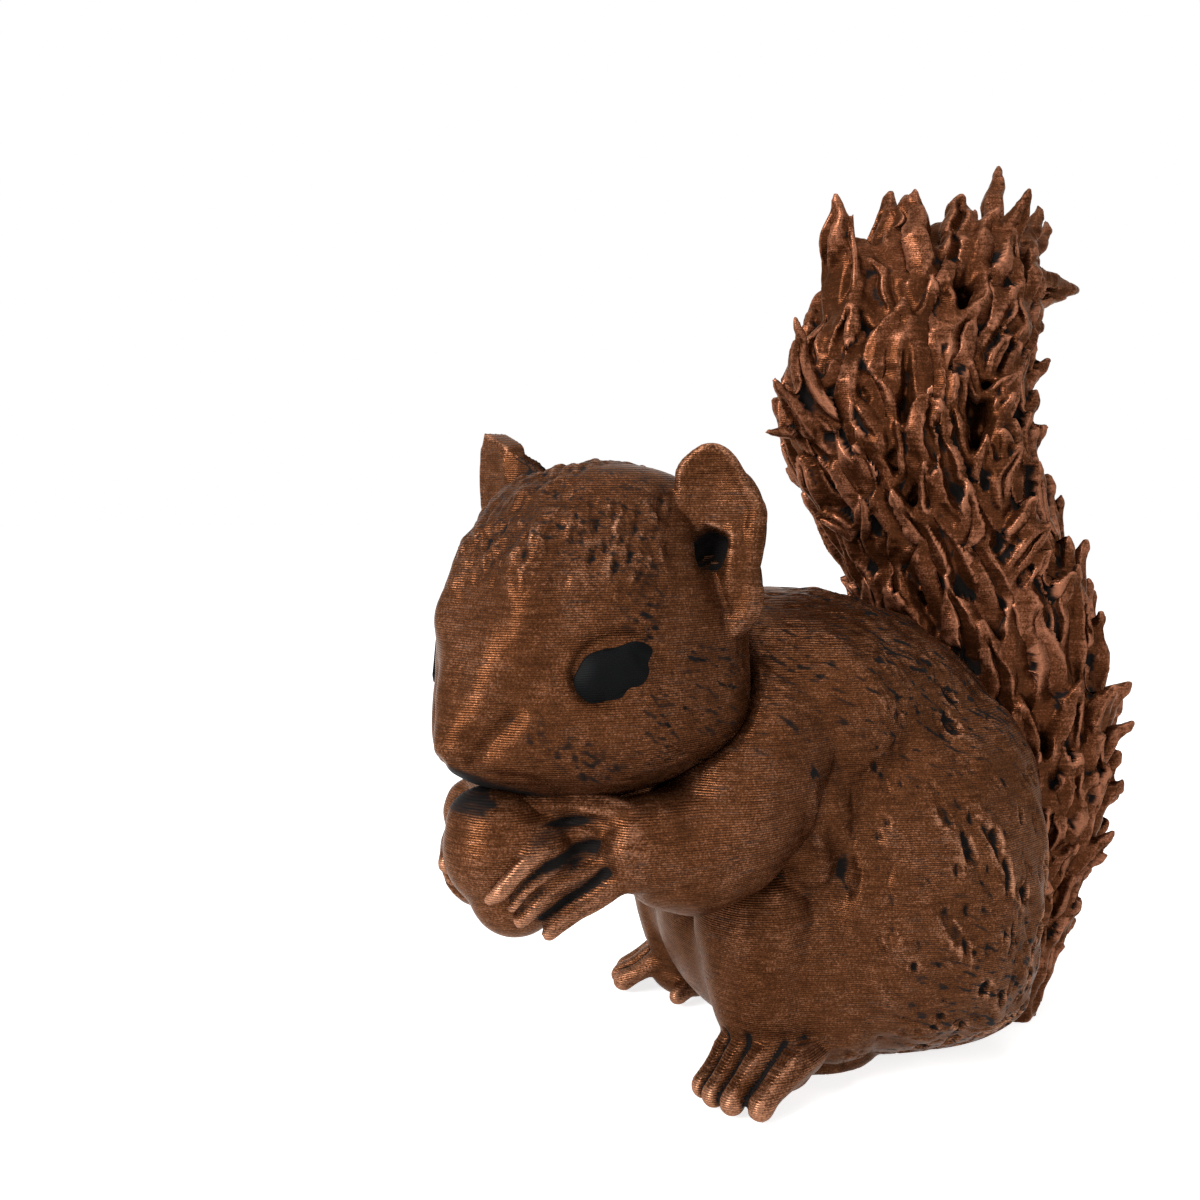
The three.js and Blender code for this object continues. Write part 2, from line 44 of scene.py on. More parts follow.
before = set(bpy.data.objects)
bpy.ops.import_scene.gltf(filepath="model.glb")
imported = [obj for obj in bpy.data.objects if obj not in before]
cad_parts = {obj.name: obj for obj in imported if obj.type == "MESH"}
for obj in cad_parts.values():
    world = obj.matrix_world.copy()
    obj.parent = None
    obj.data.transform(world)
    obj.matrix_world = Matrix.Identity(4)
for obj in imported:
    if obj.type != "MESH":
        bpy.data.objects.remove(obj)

MM = 0.001
# Pitch of the printed layers
LAYER = 0.2

# The head's own frame: its axis on the ground plane and its turn. Heights stay those of the figurine.
HEAD_AXIS = np.array([6.5, -32.6, 0])
HEAD_TURN = np.array(Matrix.Rotation(math.radians(34.7), 3, "Z"))
# Middle of the tail: side, back, up, and how far its locks reach to the side and to the back.
TAIL_MIDDLE = [
    (0, 9.2, -1.5, 5.6, 6.6),
    (0, 10.0, 10.8, 8.4, 9.6),
    (-0.8, 11.9, 23.9, 11.2, 12.9),
    (-1.5, 11.2, 38.5, 12.2, 13.8),
    (-1.9, 6.9, 50.8, 11.6, 12.4),
    (-2.3, 0.4, 61.6, 12.4, 13.4),
    (-3.5, 1.6, 70.1, 12.2, 13.8),
    (-4.2, 5.0, 77, 11.0, 12.8),
    (-4.5, 7.6, 83.5, 7.4, 9.2),
]
# Fullness of the plume under its crown: side, back, up and radius
PLUME_FORMS = [
    [(0.5, -2.5, 66, 5.0), (-1.0, -4.4, 74, 4.6), (-2.4, -5.0, 80, 3.6)],
    [(-3.0, 9.0, 66, 5.0), (-5.0, 12.4, 75, 4.8), (-6.8, 15.0, 80.5, 3.2)],
    [(-3.5, 3.5, 70, 7.5), (-3.8, 4.4, 78, 6.0), (-3.4, 6.0, 82.5, 3.4)],
]


# Meshes

def linked(name, data):
    """A new object in the scene."""
    holder = bpy.data.objects.new(name, data)
    bpy.context.scene.collection.objects.link(holder)
    return holder


def placed(name, mesh, nodes, paint):
    """Puts a finished mesh into the scene as a painted piece that stands for the named nodes."""
    piece = linked(name, mesh)
    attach(piece, "root")
    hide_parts(*nodes)
    mesh.materials.append(bpy.data.materials[paint])


def mesh_of(form, name):
    """The mesh of a form, which is freed."""
    mesh = bpy.data.meshes.new(name)
    form.to_mesh(mesh)
    form.free()
    return mesh


def taken_from(worker):
    """The mesh that a worker object makes. The worker is removed."""
    mesh = bpy.data.meshes.new_from_object(worker.evaluated_get(bpy.context.evaluated_depsgraph_get()))
    bpy.data.objects.remove(worker)
    return mesh


def melted(meshes, grain, rounds):
    """Closed forms that overlap, melted into one skin of even faces and smoothed for some rounds."""
    form = bmesh.new()
    for mesh in meshes:
        form.from_mesh(mesh)
    worker = linked("worker", mesh_of(form, "joined"))
    skin = worker.modifiers.new("Skin", "REMESH")
    skin.mode = "VOXEL"
    skin.voxel_size = grain * MM
    skin.use_smooth_shade = True
    soft = worker.modifiers.new("Soft", "SMOOTH")
    soft.factor = 0.5
    soft.iterations = rounds
    whole = taken_from(worker)
    whole.materials.clear()
    return whole


def solid_copy(name, swell, rounds=40):
    """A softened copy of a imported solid, swollen so that it meets its neighbours."""
    form = bmesh.new()
    form.from_mesh(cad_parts[name].data)
    bmesh.ops.remove_doubles(form, verts=form.verts, dist=0.002 * MM)
    bmesh.ops.recalc_face_normals(form, faces=form.faces)
    soft = melted([mesh_of(form, name + "_copy")], 0.5, rounds)
    push(soft, swell)
    return soft


def numbers(items, key, width, kind=np.float32):
    """One property of all the items of a mesh's list, as rows of numbers."""
    flat = np.empty(len(items) * width, kind)
    items.foreach_get(key, flat)
    return flat.reshape(-1, width)


def spots(mesh):
    return numbers(mesh.vertices, "co", 3).astype(np.float64) / MM


def move(mesh, places):
    mesh.vertices.foreach_set("co", (places * MM).astype(np.float32).ravel())
    mesh.update()


def facings(mesh):
    return numbers(mesh.vertex_normals, "vector", 3).astype(np.float64)


def edge_ends(mesh):
    return numbers(mesh.edges, "vertices", 2, np.int32)


def push(mesh, lengths):
    """Moves the places of a mesh along their normals, all by one length or each by its own."""
    move(mesh, spots(mesh) + np.reshape(lengths, (-1, 1)) * facings(mesh))


def lift_to_ground(mesh):
    places = spots(mesh)
    places[:, 2] = np.maximum(places[:, 2], 0)
    move(mesh, places)


def relaxed(values, ends, rounds):
    """Values at the vertices, evened out between neighbours for some rounds."""
    count = len(values)
    one, other = ends.T
    neighbours = np.maximum(np.bincount(ends.ravel(), minlength=count), 1)
    for _ in range(rounds):
        total = np.stack([
            np.bincount(one, column[other], count) + np.bincount(other, column[one], count)
            for column in values.T
        ], 1)
        values = (values + total / neighbours[:, None]) / 2
    return values


def ramp(values, low, high):
    share = np.clip((values - low) / (high - low), 0, 1)
    return share * share * (3 - 2 * share)


def ball(middle, radii, turn=(0, 0, 1)):
    """An ovoid; turn is the direction that its third axis points to."""
    form = bmesh.new()
    bmesh.ops.create_icosphere(form, subdivisions=3, radius=1)
    size = Matrix.Diagonal((*[radius * MM for radius in radii], 1))
    way = Vector(turn).to_track_quat("Z", "Y").to_matrix().to_4x4()
    bmesh.ops.transform(form, matrix=Matrix.Translation(Vector(middle) * MM) @ way @ size, verts=form.verts)
    return mesh_of(form, "ball")


def rounded(places, radii):
    """A strand whose two ends are drawn in to round tips."""
    places, radii = np.asarray(places, float), np.asarray(radii, float)
    for _ in range(2):
        places, radii = places[::-1], radii[::-1]
        way = places[0] - places[1]
        way /= np.linalg.norm(way) + 1e-9
        shares = np.array([[0.95, 0.3], [0.75, 0.66], [0.4, 0.92]])
        tip = places[0] + shares[:, :1] * way * radii[0]
        places = np.vstack([tip, places])
        radii = np.r_[shares[:, 1] * radii[0], radii]
    return places, radii


def strands(paths):
    """Round strands, each a list of places with a radius at each, as closed tubes in one mesh."""
    line = bpy.data.curves.new("strands", "CURVE")
    line.dimensions = "3D"
    line.bevel_depth = MM
    line.bevel_resolution = 1
    line.use_fill_caps = True
    for places, radii in paths:
        places, radii = rounded(places, radii)
        run = line.splines.new("POLY")
        run.points.add(len(places) - 1)
        run.points.foreach_set("co", np.c_[places * MM, np.ones(len(places))].ravel())
        run.points.foreach_set("radius", radii.astype(np.float32))
    return taken_from(linked("strands", line))


def smooth_path(stops, count):
    """Even places along a smooth line through stops, each a row of any numbers."""
    stops = np.asarray(stops, float)
    padded = np.vstack([2 * stops[0] - stops[1], stops, 2 * stops[-1] - stops[-2]])
    rows = []
    for share in np.linspace(0, len(stops) - 1, count):
        i = min(int(share), len(stops) - 2)
        t = share - i
        a, b, c, d = padded[i:i + 4]
        rows.append(b + 0.5 * t * (c - a + t * (2 * a - 5 * b + 4 * c - d + t * (3 * (b - c) + d - a))))
    return np.array(rows)


def to_head(places):
    """Places of the figurine in the head's frame."""
    return (places - HEAD_AXIS) @ HEAD_TURN


def from_head(places):
    return np.asarray(places, float) @ HEAD_TURN.T + HEAD_AXIS


def set_in_head(mesh):
    """Moves a form from the head's frame to the figurine's."""
    move(mesh, from_head(spots(mesh)))
    return mesh


def on_left(places):
    """Places with those of the right side mirrored to the left one."""
    even = places.copy()
    even[:, 0] = np.abs(even[:, 0])
    return even


def line_distance(places, stops):
    """How far each place lies from a line through stops, and where along the line, from 0 to 1."""
    stops = np.asarray(stops, float)
    nearest = np.full(len(places), np.inf)
    along = np.zeros(len(places))
    for i, (start, end) in enumerate(zip(stops[:-1], stops[1:])):
        way = end - start
        share = np.clip((places - start) @ way / (way @ way), 0, 1)
        distance = np.linalg.norm(places - start - share[:, None] * way, axis=1)
        closer = distance < nearest
        nearest[closer] = distance[closer]
        along[closer] = (i + share[closer]) / (len(stops) - 1)
    return nearest, along


def between(places, paths, width):
    """How near each place lies to the seam between its two nearest strands, from 0 to 1."""
    outside = []
    for path in map(np.array, paths):
        distance, along = line_distance(places, path[:, :3])
        outside.append(distance - np.interp(along, np.linspace(0, 1, len(path)), path[:, 3]))
    nearest, second = np.sort(outside, axis=0)[:2]
    return (1 - ramp(second - nearest, 0.3 * width, width)) * (1 - ramp(second, 0.8, 1.6))


def crease(places, stops, width, depth):
    """A soft groove along a line, or a ridge where the depth is negative. It fades out at both ends."""
    distance, along = line_distance(places, stops)
    return -depth * np.exp(-(distance / width) ** 2) * ramp(np.minimum(along, 1 - along), -0.02, 0.18)


def creased(places, creases):
    """Several creases, each given as its line, its width and its depth."""
    return sum(crease(places, *each) for each in creases)


def dent(places, middle, width, depth):
    distance = np.linalg.norm(places - np.asarray(middle, float), axis=1)
    return -depth * np.exp(-(distance / width) ** 2)


def ripples(places, along, across, flow, seed, count=26):
    """A steady random swell, stretched along a flow, that stays around 0 and seldom leaves -2 to 2."""
    dice = np.random.default_rng(seed)
    way = np.asarray(flow, float) / np.linalg.norm(flow)
    swell = np.zeros(len(places))
    for _ in range(count):
        wave = dice.normal(size=3) / across
        wave += way * (dice.normal() / along - wave @ way)
        swell += np.cos(places @ wave * 2.6 + dice.uniform(0, 2 * np.pi))
    return swell / math.sqrt(count / 2)


def painted(mesh, fine, broad, soaked=0):
    """Stores where the black stays, deep under the surroundings, and where the bronze is worn."""
    places = spots(mesh)
    normals = facings(mesh)
    ends = edge_ends(mesh)
    near = relaxed(places, ends, 8)
    around = relaxed(near, ends, 70)
    fine_depth = ((near - places) * normals).sum(1)
    broad_depth = ((around - places) * normals).sum(1)
    black = np.clip(ramp(fine_depth, 0.02, fine) + ramp(broad_depth, 0.1, broad) + soaked, 0, 1)
    worn = np.clip(ramp(-fine_depth, 0.01, fine) * 0.6 + ramp(-broad_depth, 0.0, broad) * 0.5, 0, 1)
    for name, values in (("black", black), ("worn", worn)):
        layer = mesh.attributes.new(name, "FLOAT", "POINT")
        layer.data.foreach_set("value", values.astype(np.float32))


def halves(mesh, place, normal):
    """Parts a closed mesh by a plane into two closed ones, the one ahead of the plane first."""
    results = []
    for ahead in (True, False):
        form = bmesh.new()
        form.from_mesh(mesh)
        cut = bmesh.ops.bisect_plane(
            form, geom=form.verts[:] + form.edges[:] + form.faces[:], dist=1e-7,
            plane_co=Vector(place) * MM, plane_no=Vector(normal),
            clear_inner=ahead, clear_outer=not ahead,
        )
        rim = [item for item in cut["geom_cut"] if isinstance(item, bmesh.types.BMEdge)]
        caps = bmesh.ops.holes_fill(form, edges=rim, sides=0)["faces"]
        for face in caps:
            face.smooth = False
            for edge in face.edges:
                edge.smooth = False
        bmesh.ops.triangulate(form, faces=caps)
        results.append(mesh_of(form, "half"))
    return results


# Materials

def group_of(name, inputs, outputs):
    """An empty shader group with its sockets: each a name, a kind and, for inputs, a default."""
    group = bpy.data.node_groups.new(name, "ShaderNodeTree")
    for label, kind, default in inputs:
        socket = group.interface.new_socket(name=label, in_out="INPUT", socket_type=f"NodeSocket{kind}")
        socket.default_value = default
    for label, kind in outputs:
        group.interface.new_socket(name=label, in_out="OUTPUT", socket_type=f"NodeSocket{kind}")
    result = group.nodes.new("NodeGroupOutput")
    return group, group.nodes.new("NodeGroupInput").outputs, result


def fill(tree, node, links):
    """Sets inputs of a node, by name or place: each to a value, or linked from a socket."""
    for key, value in dict(links).items():
        if isinstance(value, bpy.types.NodeSocket):
            tree.links.new(value, node.inputs[key])
        else:
            node.inputs[key].default_value = value
    return node


def add_node(tree, kind, links=(), **settings):
    """A node with its settings and its inputs."""
    node = tree.nodes.new(kind)
    for setting, value in settings.items():
        setattr(node, setting, value)
    return fill(tree, node, links)


def math_node(tree, operation, *values, clamp=False):
    settings = {"operation": operation, "use_clamp": clamp}
    return add_node(tree, "ShaderNodeMath", enumerate(values), **settings).outputs[0]


def noise_node(tree, vector, scale, detail=3, roughness=0.6):
    links = {"Vector": vector, "Scale": scale, "Detail": detail, "Roughness": roughness}
    return add_node(tree, "ShaderNodeTexNoise", links).outputs["Fac"]


def ramp_node(tree, value, low, high):
    links = {"Value": value, "From Min": low, "From Max": high}
    return add_node(tree, "ShaderNodeMapRange", links, interpolation_type="SMOOTHSTEP").outputs[0]


def mix_node(tree, factor, first, second):
    """A mix of two colours, whose sockets have the places 6 and 7, and 2 for the result."""
    links = {0: factor, 6: first, 7: second}
    return add_node(tree, "ShaderNodeMix", links, data_type="RGBA").outputs[2]


def print_layers_group():
    """Level printed layers: a groove between each two, as a mask and as a height in metres."""
    inputs = [("Pitch", "Float", LAYER * MM), ("Waviness", "Float", 0.2), ("Depth", "Float", 0.03 * MM)]
    group, given, result = group_of("print layers", inputs, [("Groove", "Float"), ("Height", "Float")])
    calc, times = partial(math_node, group), partial(math_node, group, "MULTIPLY")
    place = group.nodes.new("ShaderNodeTexCoord").outputs["Object"]
    level = add_node(group, "ShaderNodeSeparateXYZ", {0: place}).outputs["Z"]
    sway = times(noise_node(group, place, 260, 1), given["Waviness"])
    turns = calc("ADD", calc("DIVIDE", level, given["Pitch"]), sway)
    fold = calc("ABSOLUTE", calc("SUBTRACT", calc("FRACT", turns), 0.5))
    round_bead = times(times(fold, fold), -4)
    height = times(round_bead, given["Depth"])
    fill(group, result, {"Groove": ramp_node(group, fold, 0.26, 0.5), "Height": height})


def bronze_paint_group():
    """Bronze rubbed over black: black stays in the hollows and in some of the layer grooves."""
    inputs = [
        ("Bronze", "Color", (0.2, 0.08, 0.035, 1)),
        ("Worn bronze", "Color", (0.4, 0.2, 0.13, 1)),
        ("Deep bronze", "Color", (0.038, 0.0125, 0.0045, 1)),
        ("Black", "Color", (0.008, 0.007, 0.007, 1)),
        ("Hollows", "Float", 1.0),
        ("Layer lines", "Float", 0.6),
        ("Scuffs", "Float", 0.5),
        ("Groove", "Float", 0.0),
    ]
    outputs = [("Color", "Color"), ("Metal", "Float"), ("Roughness", "Float"), ("Grain", "Float")]
    group, given, result = group_of("bronze over black", inputs, outputs)
    calc, noise = partial(math_node, group), partial(noise_node, group)
    times, scaled = partial(calc, "MULTIPLY"), partial(calc, "MULTIPLY_ADD")
    place = group.nodes.new("ShaderNodeTexCoord").outputs["Object"]
    black, worn = (
        add_node(group, "ShaderNodeAttribute", attribute_name=name).outputs["Fac"]
        for name in ("black", "worn")
    )
    links = {0: place, 1: (1, 1, 9)}
    flat = add_node(group, "ShaderNodeVectorMath", links, operation="MULTIPLY").outputs[0]
    patches = noise(place, 150, 4, 0.65)
    blotches = noise(place, 700, 3, 0.65)
    grit = noise(place, 5200, 2, 0.7)
    streaks = noise(flat, 400, 3, 0.6)
    thin = ramp_node(group, patches, 0.38, 0.66)

    # Black where it is deep, with ragged edges, and in the grooves of the layers where the bronze is thin
    ragged = scaled(streaks, 0.9, scaled(grit, 0.3, black))
    hollow = ramp_node(group, ragged, 0.82, 1.45)
    base_lines = scaled(black, 1.2, 0.3)
    near_hollow = scaled(thin, 0.5, base_lines, clamp=True)
    lines = times(times(given["Groove"], near_hollow), given["Layer lines"])
    scuffs = times(ramp_node(group, streaks, 0.54, 0.66), given["Scuffs"])
    patchy = times(scuffs, scaled(thin, 0.8, 0.2))
    deep = times(hollow, given["Hollows"])
    dark = calc("MAXIMUM", deep, calc("MAXIMUM", lines, patchy), clamp=True)

    # Tone of the bronze, from deep brown over bronze to the rubbed ridges
    fine = scaled(grit, 0.75, times(streaks, 0.5))
    broad = scaled(patches, 0.5, fine)
    mottle = scaled(blotches, 0.25, broad)
    rubbed = scaled(worn, 0.6, mottle)
    ridge = ramp_node(group, rubbed, 1.0, 1.5)
    light = ramp_node(group, mottle, 0.76, 1.16)
    deep_tone = mix_node(group, light, given["Deep bronze"], given["Bronze"])
    shade = mix_node(group, ridge, deep_tone, given["Worn bronze"])
    fill(group, result, {
        "Color": mix_node(group, dark, shade, given["Black"]),
        "Metal": scaled(dark, -0.6, 0.6, clamp=True),
        "Roughness": scaled(blotches, 0.16, scaled(dark, 0.3, 0.2)),
        "Grain": scaled(streaks, 0.02 * MM, times(grit, 0.01 * MM)),
    })


def material_of(name):
    """A new material, its node tree and its shader."""
    material = bpy.data.materials.new(name)
    material.use_nodes = True
    tree = material.node_tree
    return material, tree, tree.nodes["Principled BSDF"]


def shared_group(tree, name, links):
    """The results of a shader group that several materials share."""
    return add_node(tree, "ShaderNodeGroup", links, node_tree=bpy.data.node_groups[name]).outputs


def bump_node(tree, height):
    links = {"Height": height, "Strength": 1.0, "Distance": 1.0}
    return add_node(tree, "ShaderNodeBump", links).outputs["Normal"]


def bronze_material(name, bronze, worn, layer_depth, layer_lines, scuffs):
    """Bronze paint over black on printed layers, for one kind of surface."""
    _, tree, shader = material_of(name)
    layers = shared_group(tree, "print layers", {"Depth": layer_depth})
    paint = shared_group(tree, "bronze over black", {
        "Bronze": (*bronze, 1), "Worn bronze": (*worn, 1),
        "Layer lines": layer_lines, "Scuffs": scuffs, "Groove": layers["Groove"],
    })
    height = math_node(tree, "ADD", layers["Height"], paint["Grain"])
    fill(tree, shader, {
        "Base Color": paint["Color"], "Metallic": paint["Metal"], "Roughness": paint["Roughness"],
        "Normal": bump_node(tree, height),
        "Specular IOR Level": 0.05, "Specular Tint": (0.7, 0.52, 0.42, 1),
    })


def eye_material():
    """Matt black paint with a faint mottle."""
    _, tree, shader = material_of("black eye paint")
    place = tree.nodes.new("ShaderNodeTexCoord").outputs["Object"]
    patches = noise_node(tree, place, 900, 3)
    layers = shared_group(tree, "print layers", {"Depth": 0.012 * MM})
    fill(tree, shader, {
        "Base Color": mix_node(tree, patches, (0.0008, 0.0009, 0.0011, 1), (0.003, 0.0032, 0.0036, 1)),
        "Roughness": math_node(tree, "MULTIPLY_ADD", patches, 0.2, 0.42),
        "Normal": bump_node(tree, layers["Height"]),
        "Specular IOR Level": 0.05,
    })


# Body

def leg(side):
    """The knee's soft passage into the haunch, the instep, the heel, and the shoulder's fullness."""
    return [
        ball((12.2 * side, -13.0, 12.5), (6.0, 8.6, 11.0)),
        ball((12.4 * side, -19.6, 2.6), (3.8, 4.4, 3.0), (0, 0.2, 1)),
        ball((9.6 * side, -12.5, 2.0), (2.8, 6.0, 3.0)),
        ball((13.6 * side, -16.4, 27.0), (4.9, 5.2, 8.6)),
        ball((11.0 * side, -13.5, 36.0), (8.0, 8.8, 8.6)),
        ball((8.6 * side, -20.6, 10.5), (5.0, 4.2, 7.4), (0, -0.5, 1)),
    ]


# Four long toes of the left foot, from the instep over the knuckle to the tip, with radii
TOES = [
    [(11.4, -18.5, 4.8, 1.6), (11.2, -22.4, 4.7, 1.6), (12.6, -25.2, 2.7, 1.1), (13.7, -26.7, 1.5, 1.3)],
    [(12.8, -18.0, 5.0, 1.6), (13.2, -21.8, 4.9, 1.7), (14.7, -24.9, 2.8, 1.15), (15.7, -26.4, 1.5, 1.3)],
    [(14.4, -17.5, 5.0, 1.6), (15.4, -20.9, 4.7, 1.75), (16.8, -23.9, 2.8, 1.2), (17.6, -25.3, 1.5, 1.35)],
    [(15.4, -16.8, 4.2, 1.8), (17.3, -19.4, 4.0, 1.85), (18.7, -22.0, 2.5, 1.3), (19.3, -23.2, 1.55, 1.4)],
]
INNER_TOE = [(10.0, -17.0, 2.4, 1.6), (8.8, -20.5, 2.0, 1.3), (8.2, -22.0, 1.3, 1.1)]


def foot(side):
    """Toes and the small inner toe."""
    forms = []
    for toe in [*TOES, INNER_TOE]:
        path = smooth_path(toe, 9)
        path[:, 0] *= side
        path[:, 2] = np.maximum(path[:, 2], path[:, 3] + 0.05)
        forms.append((path[:, :3], path[:, 3]))
    return strands(forms)


# Fingers of the left hand in the head's frame, from the wrist to the tip, with radii
FINGERS = [
    [(8.8, -10.6, 28.9, 1.9), (7.0, -11.7, 29.6, 1.6), (4.8, -13.2, 30.0, 1.4), (2.7, -15.1, 29.8, 1.25),
     (1.2, -17.2, 29.4, 1.1), (1.1, -18.8, 28.6, 0.8)],
    [(9.7, -10.3, 27.8, 1.8), (8.0, -11.3, 28.2, 1.5), (6.5, -12.5, 27.8, 1.25), (5.2, -14.0, 27.1, 1.1),
     (5.3, -16.3, 26.7, 1.1), (4.8, -18.3, 25.7, 1.0), (3.7, -20.0, 23.7, 0.9), (2.7, -20.5, 22.9, 0.6)],
    [(7.2, -12.4, 26.0, 0.8), (5.9, -14.2, 25.4, 0.9), (5.6, -16.5, 24.9, 0.9), (5.0, -18.2, 23.7, 0.8),
     (4.1, -19.1, 22.2, 0.6)],
    [(10.0, -10.5, 26.1, 1.8), (8.8, -11.4, 26.0, 1.5), (7.6, -12.6, 24.9, 1.3), (6.7, -14.1, 24.1, 1.2),
     (5.7, -15.8, 23.5, 1.2), (5.2, -17.4, 22.5, 1.05), (4.1, -18.2, 20.9, 0.8)],
    [(10.0, -11.0, 24.4, 1.8), (9.0, -11.8, 23.7, 1.45), (7.9, -13.1, 22.4, 1.25), (6.8, -14.3, 21.5, 1.15),
     (5.8, -15.5, 20.3, 1.0), (5.3, -16.0, 19.5, 0.8)],
]
# How many of its 16 places each finger keeps: those of the right hand end sooner
FINGER_REACH = {1: (16, 16, 16, 16, 16), -1: (12, 13, 11, 11, 11)}
# Middle of the nut, which the right hand clasps more closely, and how much more
NUT_MIDDLE = np.array([0, -15.9, 24.3])
RIGHT_CLASP = 0.93
PALM = (9.6, -9.6, 26.2)
FINGER_WEB = (3.2, -15.4, 24.6)
# Where the gaps between the left hand's fingers stay black, seen straight onto the hand: along it and up
BLACK_GAPS = [
    [(-4.2, 28.9), (-5.6, 28.3), (-7.4, 27.6)], [(-3.2, 27.0), (-4.8, 26.0), (-6.4, 25.4)],
    [(-1.8, 24.7), (-3.3, 23.8), (-4.9, 22.9)], [(-5.2, 22.1), (-6.9, 21.0)],
]


def hand(side):
    """Fingers round the nut and the palm that they leave from."""
    paths = []
    for finger, reach in zip(FINGERS, FINGER_REACH[side]):
        path = smooth_path(finger, 16)[:reach] * [side, 1, 1, 1]
        if side < 0:
            path[:, :3] = NUT_MIDDLE + RIGHT_CLASP * (path[:, :3] - NUT_MIDDLE)
        paths.append((from_head(path[:, :3]), path[:, 3]))
    palm = ball(from_head(np.array(PALM) * [side, 1, 1]), (3.6, 3.6, 4.0))
    web = ball(from_head(np.array(FINGER_WEB) * [side, 1, 1]), (3.6, 4.0, 4.8))
    return [strands(paths), palm, web]


def along_hand(x, y):
    """How far along the left hand a place lies, seen straight onto it."""
    return 0.757 * x + 0.65 * y


def evened(body):
    """The body's places, evened out where the fur hides what lies under it."""
    places = spots(body)
    soft = relaxed(places, edge_ends(body), 110)
    x, y, z = places.T
    back = ramp(y, -17, -12) * ramp(z, 20, 28)
    shoulder = ramp(z, 32.5, 36)
    knee = ramp(y, -20, -13) * ramp(-z, -20, -14) * ramp(z, 6, 9) * 0.9
    belly = ramp(-y, 15, 18) * ramp(z, 2.5, 5) * (1 - ramp(z, 17, 20)) * (1 - ramp(np.abs(x), 8, 11))
    share = np.max([back, shoulder, knee, belly], axis=0)[:, None]
    return places + share * (soft - places)


# Folds of the body's left side: the line, the width and the depth
ELBOW = [(19.8, -19.0, 31.5), (19.0, -18.6, 27), (16.5, -16.5, 23), (14.8, -16.0, 18.6)]
BODY_FOLDS = [
    ([*ELBOW, (15.5, -15.6, 14)], 0.9, -0.5),
    ([(20.6, -17.0, 32), (19.6, -16.6, 27), (17.6, -14.4, 22.5), (16.6, -13.6, 17)], 1.1, 0.45),
    ([(19.0, -13.5, 29), (18.6, -12.0, 24), (17.6, -11.5, 19)], 1.4, 0.3),
    ([(19.0, -10.0, 26), (19.2, -9.0, 21), (18.4, -9.0, 16)], 1.2, 0.2),
    ([(10, -14.5, 41), (14, -9.5, 36), (17, -5, 30)], 1.3, 0.3),
    ([(15.8, -13.2, 29.2), (16.6, -14.0, 26.0), (16.1, -15.1, 23.8), (17.3, -14.5, 20.6), (18.2, -13.7, 19.6)],
     0.8, 0.35),
    ([(15.4, -16.0, 19.0), (16.0, -15.7, 16.9), (16.0, -15.6, 14.6), (14.7, -16.2, 9.4)], 0.9, 0.4),
    ([(18.6, -12.5, 23.2), (19.3, -11.8, 19.2), (19.0, -12.4, 14.9), (16.9, -13.5, 9.5)], 1.2, 0.35),
]


def body_fur(places):
    """Ragged pits, densest low at the rear, and strokes over the back and the neck."""
    x, y, z = places.T
    off_foot = 1 - ramp(-y, 9, 19)
    rear = (0.35 + 0.65 * ramp(y, -10, 1)) * ramp(np.abs(x), 5, 12) * off_foot
    low = 1 - 0.8 * ramp(z, 12, 34)
    down = (0.1, 0.35, -1)
    swell = ripples(places, 2.3, 1.15, down, 31)
    broad = ripples(places, 6.0, 3.0, down, 32)
    level = 1.3 - 0.7 * rear * low - 0.3 * broad
    pits = -0.75 * ramp(swell, level - 0.1, level + 1.4) * np.maximum(rear, 0.3 * off_foot)
    pits -= 0.2 * off_foot * ramp(ripples(places, 1.5, 0.7, down, 34), 0.8, 2.2)
    hair = ripples(places, 3.2, 0.8, (0.2, 1, -0.45), 33)
    strokes = -0.2 * ramp(z, 32, 38) * ramp(hair, 0.3, 1.9)
    wave = 0.16 * off_foot * broad * ramp(z, 2, 6)
    return pits + strokes + wave


def body_specks(places):
    """How much of the black stays on the neck, the back and low at the rear, in dashes along the fur."""
    _, y, z = places.T
    upper = ramp(z, 30, 36)
    rear = ramp(y, -14, 0) * (1 - ramp(z, 8, 22))
    dashes = ramp(ripples(places, 2.2, 0.4, (0.2, 1, -0.35), 35), 0.4, 1.7)
    return (0.65 * upper + 0.6 * rear + 0.4 * ramp(y, -16, -8)) * dashes


def finger_seams(places):
    """How near each place lies to a gap between two fingers, in the head's frame."""
    even = on_left(places)
    wrist = np.linalg.norm(even - np.array([10.0, -10.4, 26.6]), axis=1)
    return between(even, FINGERS, 0.8) * ramp(wrist, 2.4, 3.6)


def toe_seams(places):
    """How near each place lies to a gap between two toes."""
    return between(on_left(places), TOES, 0.6) * ramp(-places[:, 1], 19.0, 21.0)


def soaked_hands(places):
    """How much of the black stays in the gaps between the fingers, in the head's frame."""
    x, y, z = places.T
    seen = np.stack([along_hand(np.abs(x), y), z], 1)
    gaps = np.min([line_distance(seen, gap)[0] for gap in BLACK_GAPS], axis=0)
    outer = ramp(np.abs(x) - y, 17.5, 19.0) * (1 - ramp(z, 29.6, 30.4))
    return outer * (1 - ramp(gaps, 0.25, 1.1)) * (0.5 + 0.6 * finger_seams(places))


def soaked_folds(places):
    """How much of the black stays where the arm meets the haunch and the neck."""
    even = on_left(places)
    nook, _ = line_distance(even, [(19.6, -18.8, 32.2), (17.9, -16.8, 31.1), (14.7, -13.8, 30.8)])
    elbow, _ = line_distance(even, ELBOW)
    rough = ramp(ripples(places, 1.6, 0.6, (0.2, 1, -0.4), 47), -0.6, 1.0)
    return rough * (0.5 * (1 - ramp(nook, 0.4, 2.0)) + 0.45 * (1 - ramp(elbow, 0.3, 1.3)))


